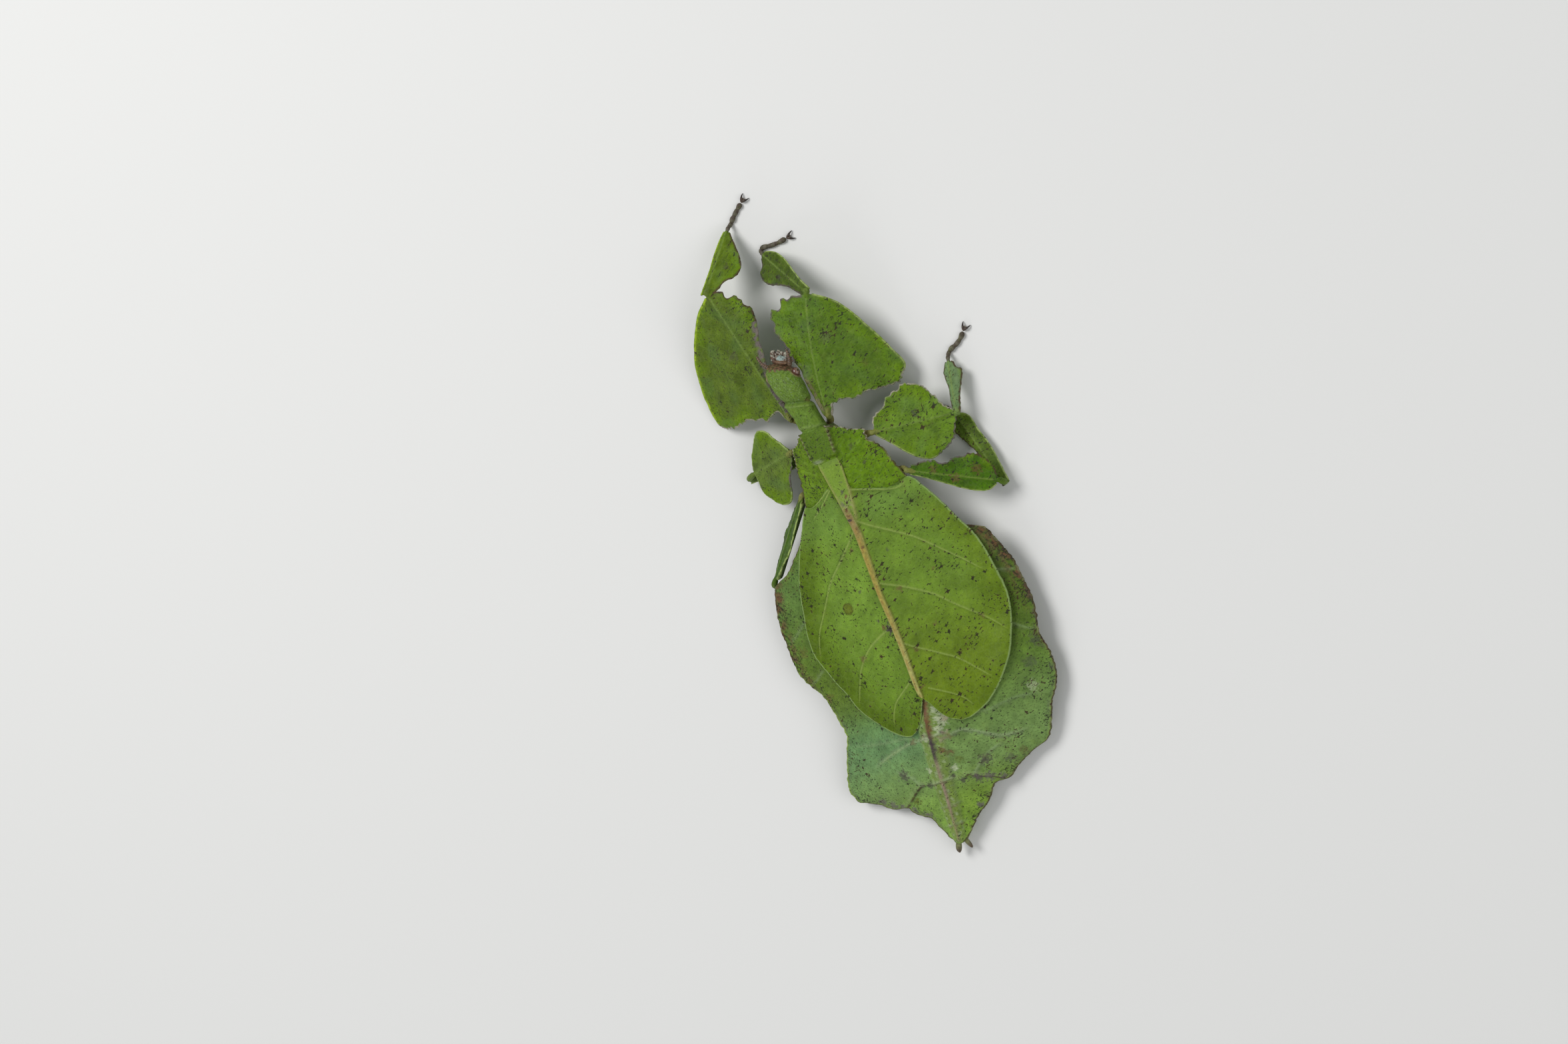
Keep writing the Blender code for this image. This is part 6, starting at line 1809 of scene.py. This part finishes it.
def build():
    """The whole animal: one skin of flesh and the small pieces beside it."""
    skin_look = leaf_material("leaf_skin", 0.54, 0.34, SKIN_MARKS, SPECK_GREEN)
    wing_look = leaf_material("wing_skin", 0.54, 0.14, WING_MARKS, SPECK_BROWN)
    horn = horn_material("horn", 0.38, 0.5)
    pale_horn = horn_material("mouth_horn", 0.52, 0.28)
    eye_look = eye_material()
    flesh = ["head", "prothorax", "mesothorax", "metathorax",
             "abdomen_front", "abdomen_seventh", "abdomen_tip"]
    pieces = [new_object("skin", *trunk()), new_object("front", *head())]
    for leg in FEMORA:
        parts = [lobed("femur_" + leg, **FEMORA[leg]), hip(leg), knee(leg),
                 lobed("tibia_" + leg, **TIBIAE[leg]), foot(leg)]
        pieces.append(union([new_object("limb", *part) for part in parts]))
        flesh += [piece + leg for piece in ("coxa_", "femur_", "tibia_", "tarsus_")]
    skin = union(pieces)
    drop_crumbs(skin.data)
    heal(skin)
    show(skin, skin_look, "leaf_green", *flesh)
    for side, sign in (("right", 1), ("left", -1)):
        show(new_object("wing_" + side, *wing(sign)), wing_look, "wing_green", "forewing_" + side)
        show(new_object("eyeball_" + side, *eye(side)), eye_look, "eye", "eye_" + side)
        show(new_object("feeler_" + side, *antenna(side)), horn, "limb_brown", "antenna_" + side)
        show(new_object("tail_feeler_" + side, *cercus(side)), horn, "limb_brown", "cercus_" + side)
    show(new_object("mouth", *mouthparts()), pale_horn, "limb_brown", "mouthparts")
    for leg in FEMORA:
        show(new_object("claw_pair_" + leg, *claws(leg)), horn, "limb_brown", "claws_" + leg)


# Floor, light and camera
CAMERA_TILT = math.radians(25)
CAMERA_TURN = math.radians(20.2)
CAMERA_PLACE = np.array([351.426, 12.167, 797.166])
LENS = 100.0
SENSOR = 36.0
FLOOR_COLOUR = (0.80, 0.795, 0.775)
FLOOR_HALF = 1.5
SKY = (0.93, 0.97, 1.0, 1)
SKY_STRENGTH = 0.27
# The lamps' places and widths in metres, and their power
LAMPS = {
    "key": ((-0.25, 0.42, 0.62), 0.42, 3.9),
    "fill": ((0.55, -0.20, 0.50), 0.60, 1.7),
    "rim": ((-0.40, -0.55, 0.30), 0.40, 0.9)}


def metres(point):
    """A place in the scene for one in the body's millimetres."""
    return Vector((np.asarray(point) - FOOTPRINT_CENTRE) * MM)


def camera():
    """Looks down on the back from her right, turned so that she lies as in the photograph."""
    right = np.array([math.cos(CAMERA_TILT), 0, -math.sin(CAMERA_TILT)])
    forward = np.array([0, 1.0, 0])
    behind = np.array([math.sin(CAMERA_TILT), 0, math.cos(CAMERA_TILT)])
    across = math.cos(CAMERA_TURN) * right - math.sin(CAMERA_TURN) * forward
    upward = math.sin(CAMERA_TURN) * right + math.cos(CAMERA_TURN) * forward
    data = bpy.data.cameras.new("camera")
    data.lens = LENS
    data.sensor_width = SENSOR
    data.clip_start = 0.01
    data.clip_end = 10.0
    obj = bpy.data.objects.new("camera", data)
    obj.matrix_world = Matrix.Translation(metres(CAMERA_PLACE)) @ Matrix(
        np.stack([across, upward, behind], -1).tolist()).to_4x4()
    bpy.context.scene.collection.objects.link(obj)
    bpy.context.scene.camera = obj


def area_light(name, place, size, power):
    """A round lamp that faces the animal."""
    data = bpy.data.lights.new(name, "AREA")
    data.shape = "DISK"
    data.size = size
    data.energy = power
    obj = bpy.data.objects.new(name, data)
    obj.location = place
    obj.rotation_euler = (-Vector(place)).to_track_quat("-Z", "Y").to_euler()
    bpy.context.scene.collection.objects.link(obj)


def floor():
    """A pale level floor."""
    mesh = bpy.data.meshes.new("floor")
    corners = [(x * FLOOR_HALF, y * FLOOR_HALF, 0) for x, y in ((-1, -1), (1, -1), (1, 1), (-1, 1))]
    mesh.from_pydata(corners, [], [(0, 1, 2, 3)])
    obj = bpy.data.objects.new("floor", mesh)
    bpy.context.scene.collection.objects.link(obj)
    n = Nodes("floor")
    n.set(Base_Color=rgba(FLOOR_COLOUR), Roughness=0.8, Specular_IOR_Level=0.2)
    mesh.materials.append(n.material)


def studio():
    """Soft light from all round, a main lamp, a weaker one and one from behind."""
    world = bpy.data.worlds.new("studio")
    bpy.context.scene.world = world
    world.use_nodes = True
    background = world.node_tree.nodes["Background"]
    background.inputs["Color"].default_value = SKY
    background.inputs["Strength"].default_value = SKY_STRENGTH
    for name, (place, size, power) in LAMPS.items():
        area_light(name, place, size, power)
    view = bpy.context.scene.view_settings
    view.view_transform = "Standard"
    view.look = "None"


build()
camera()
floor()
studio()
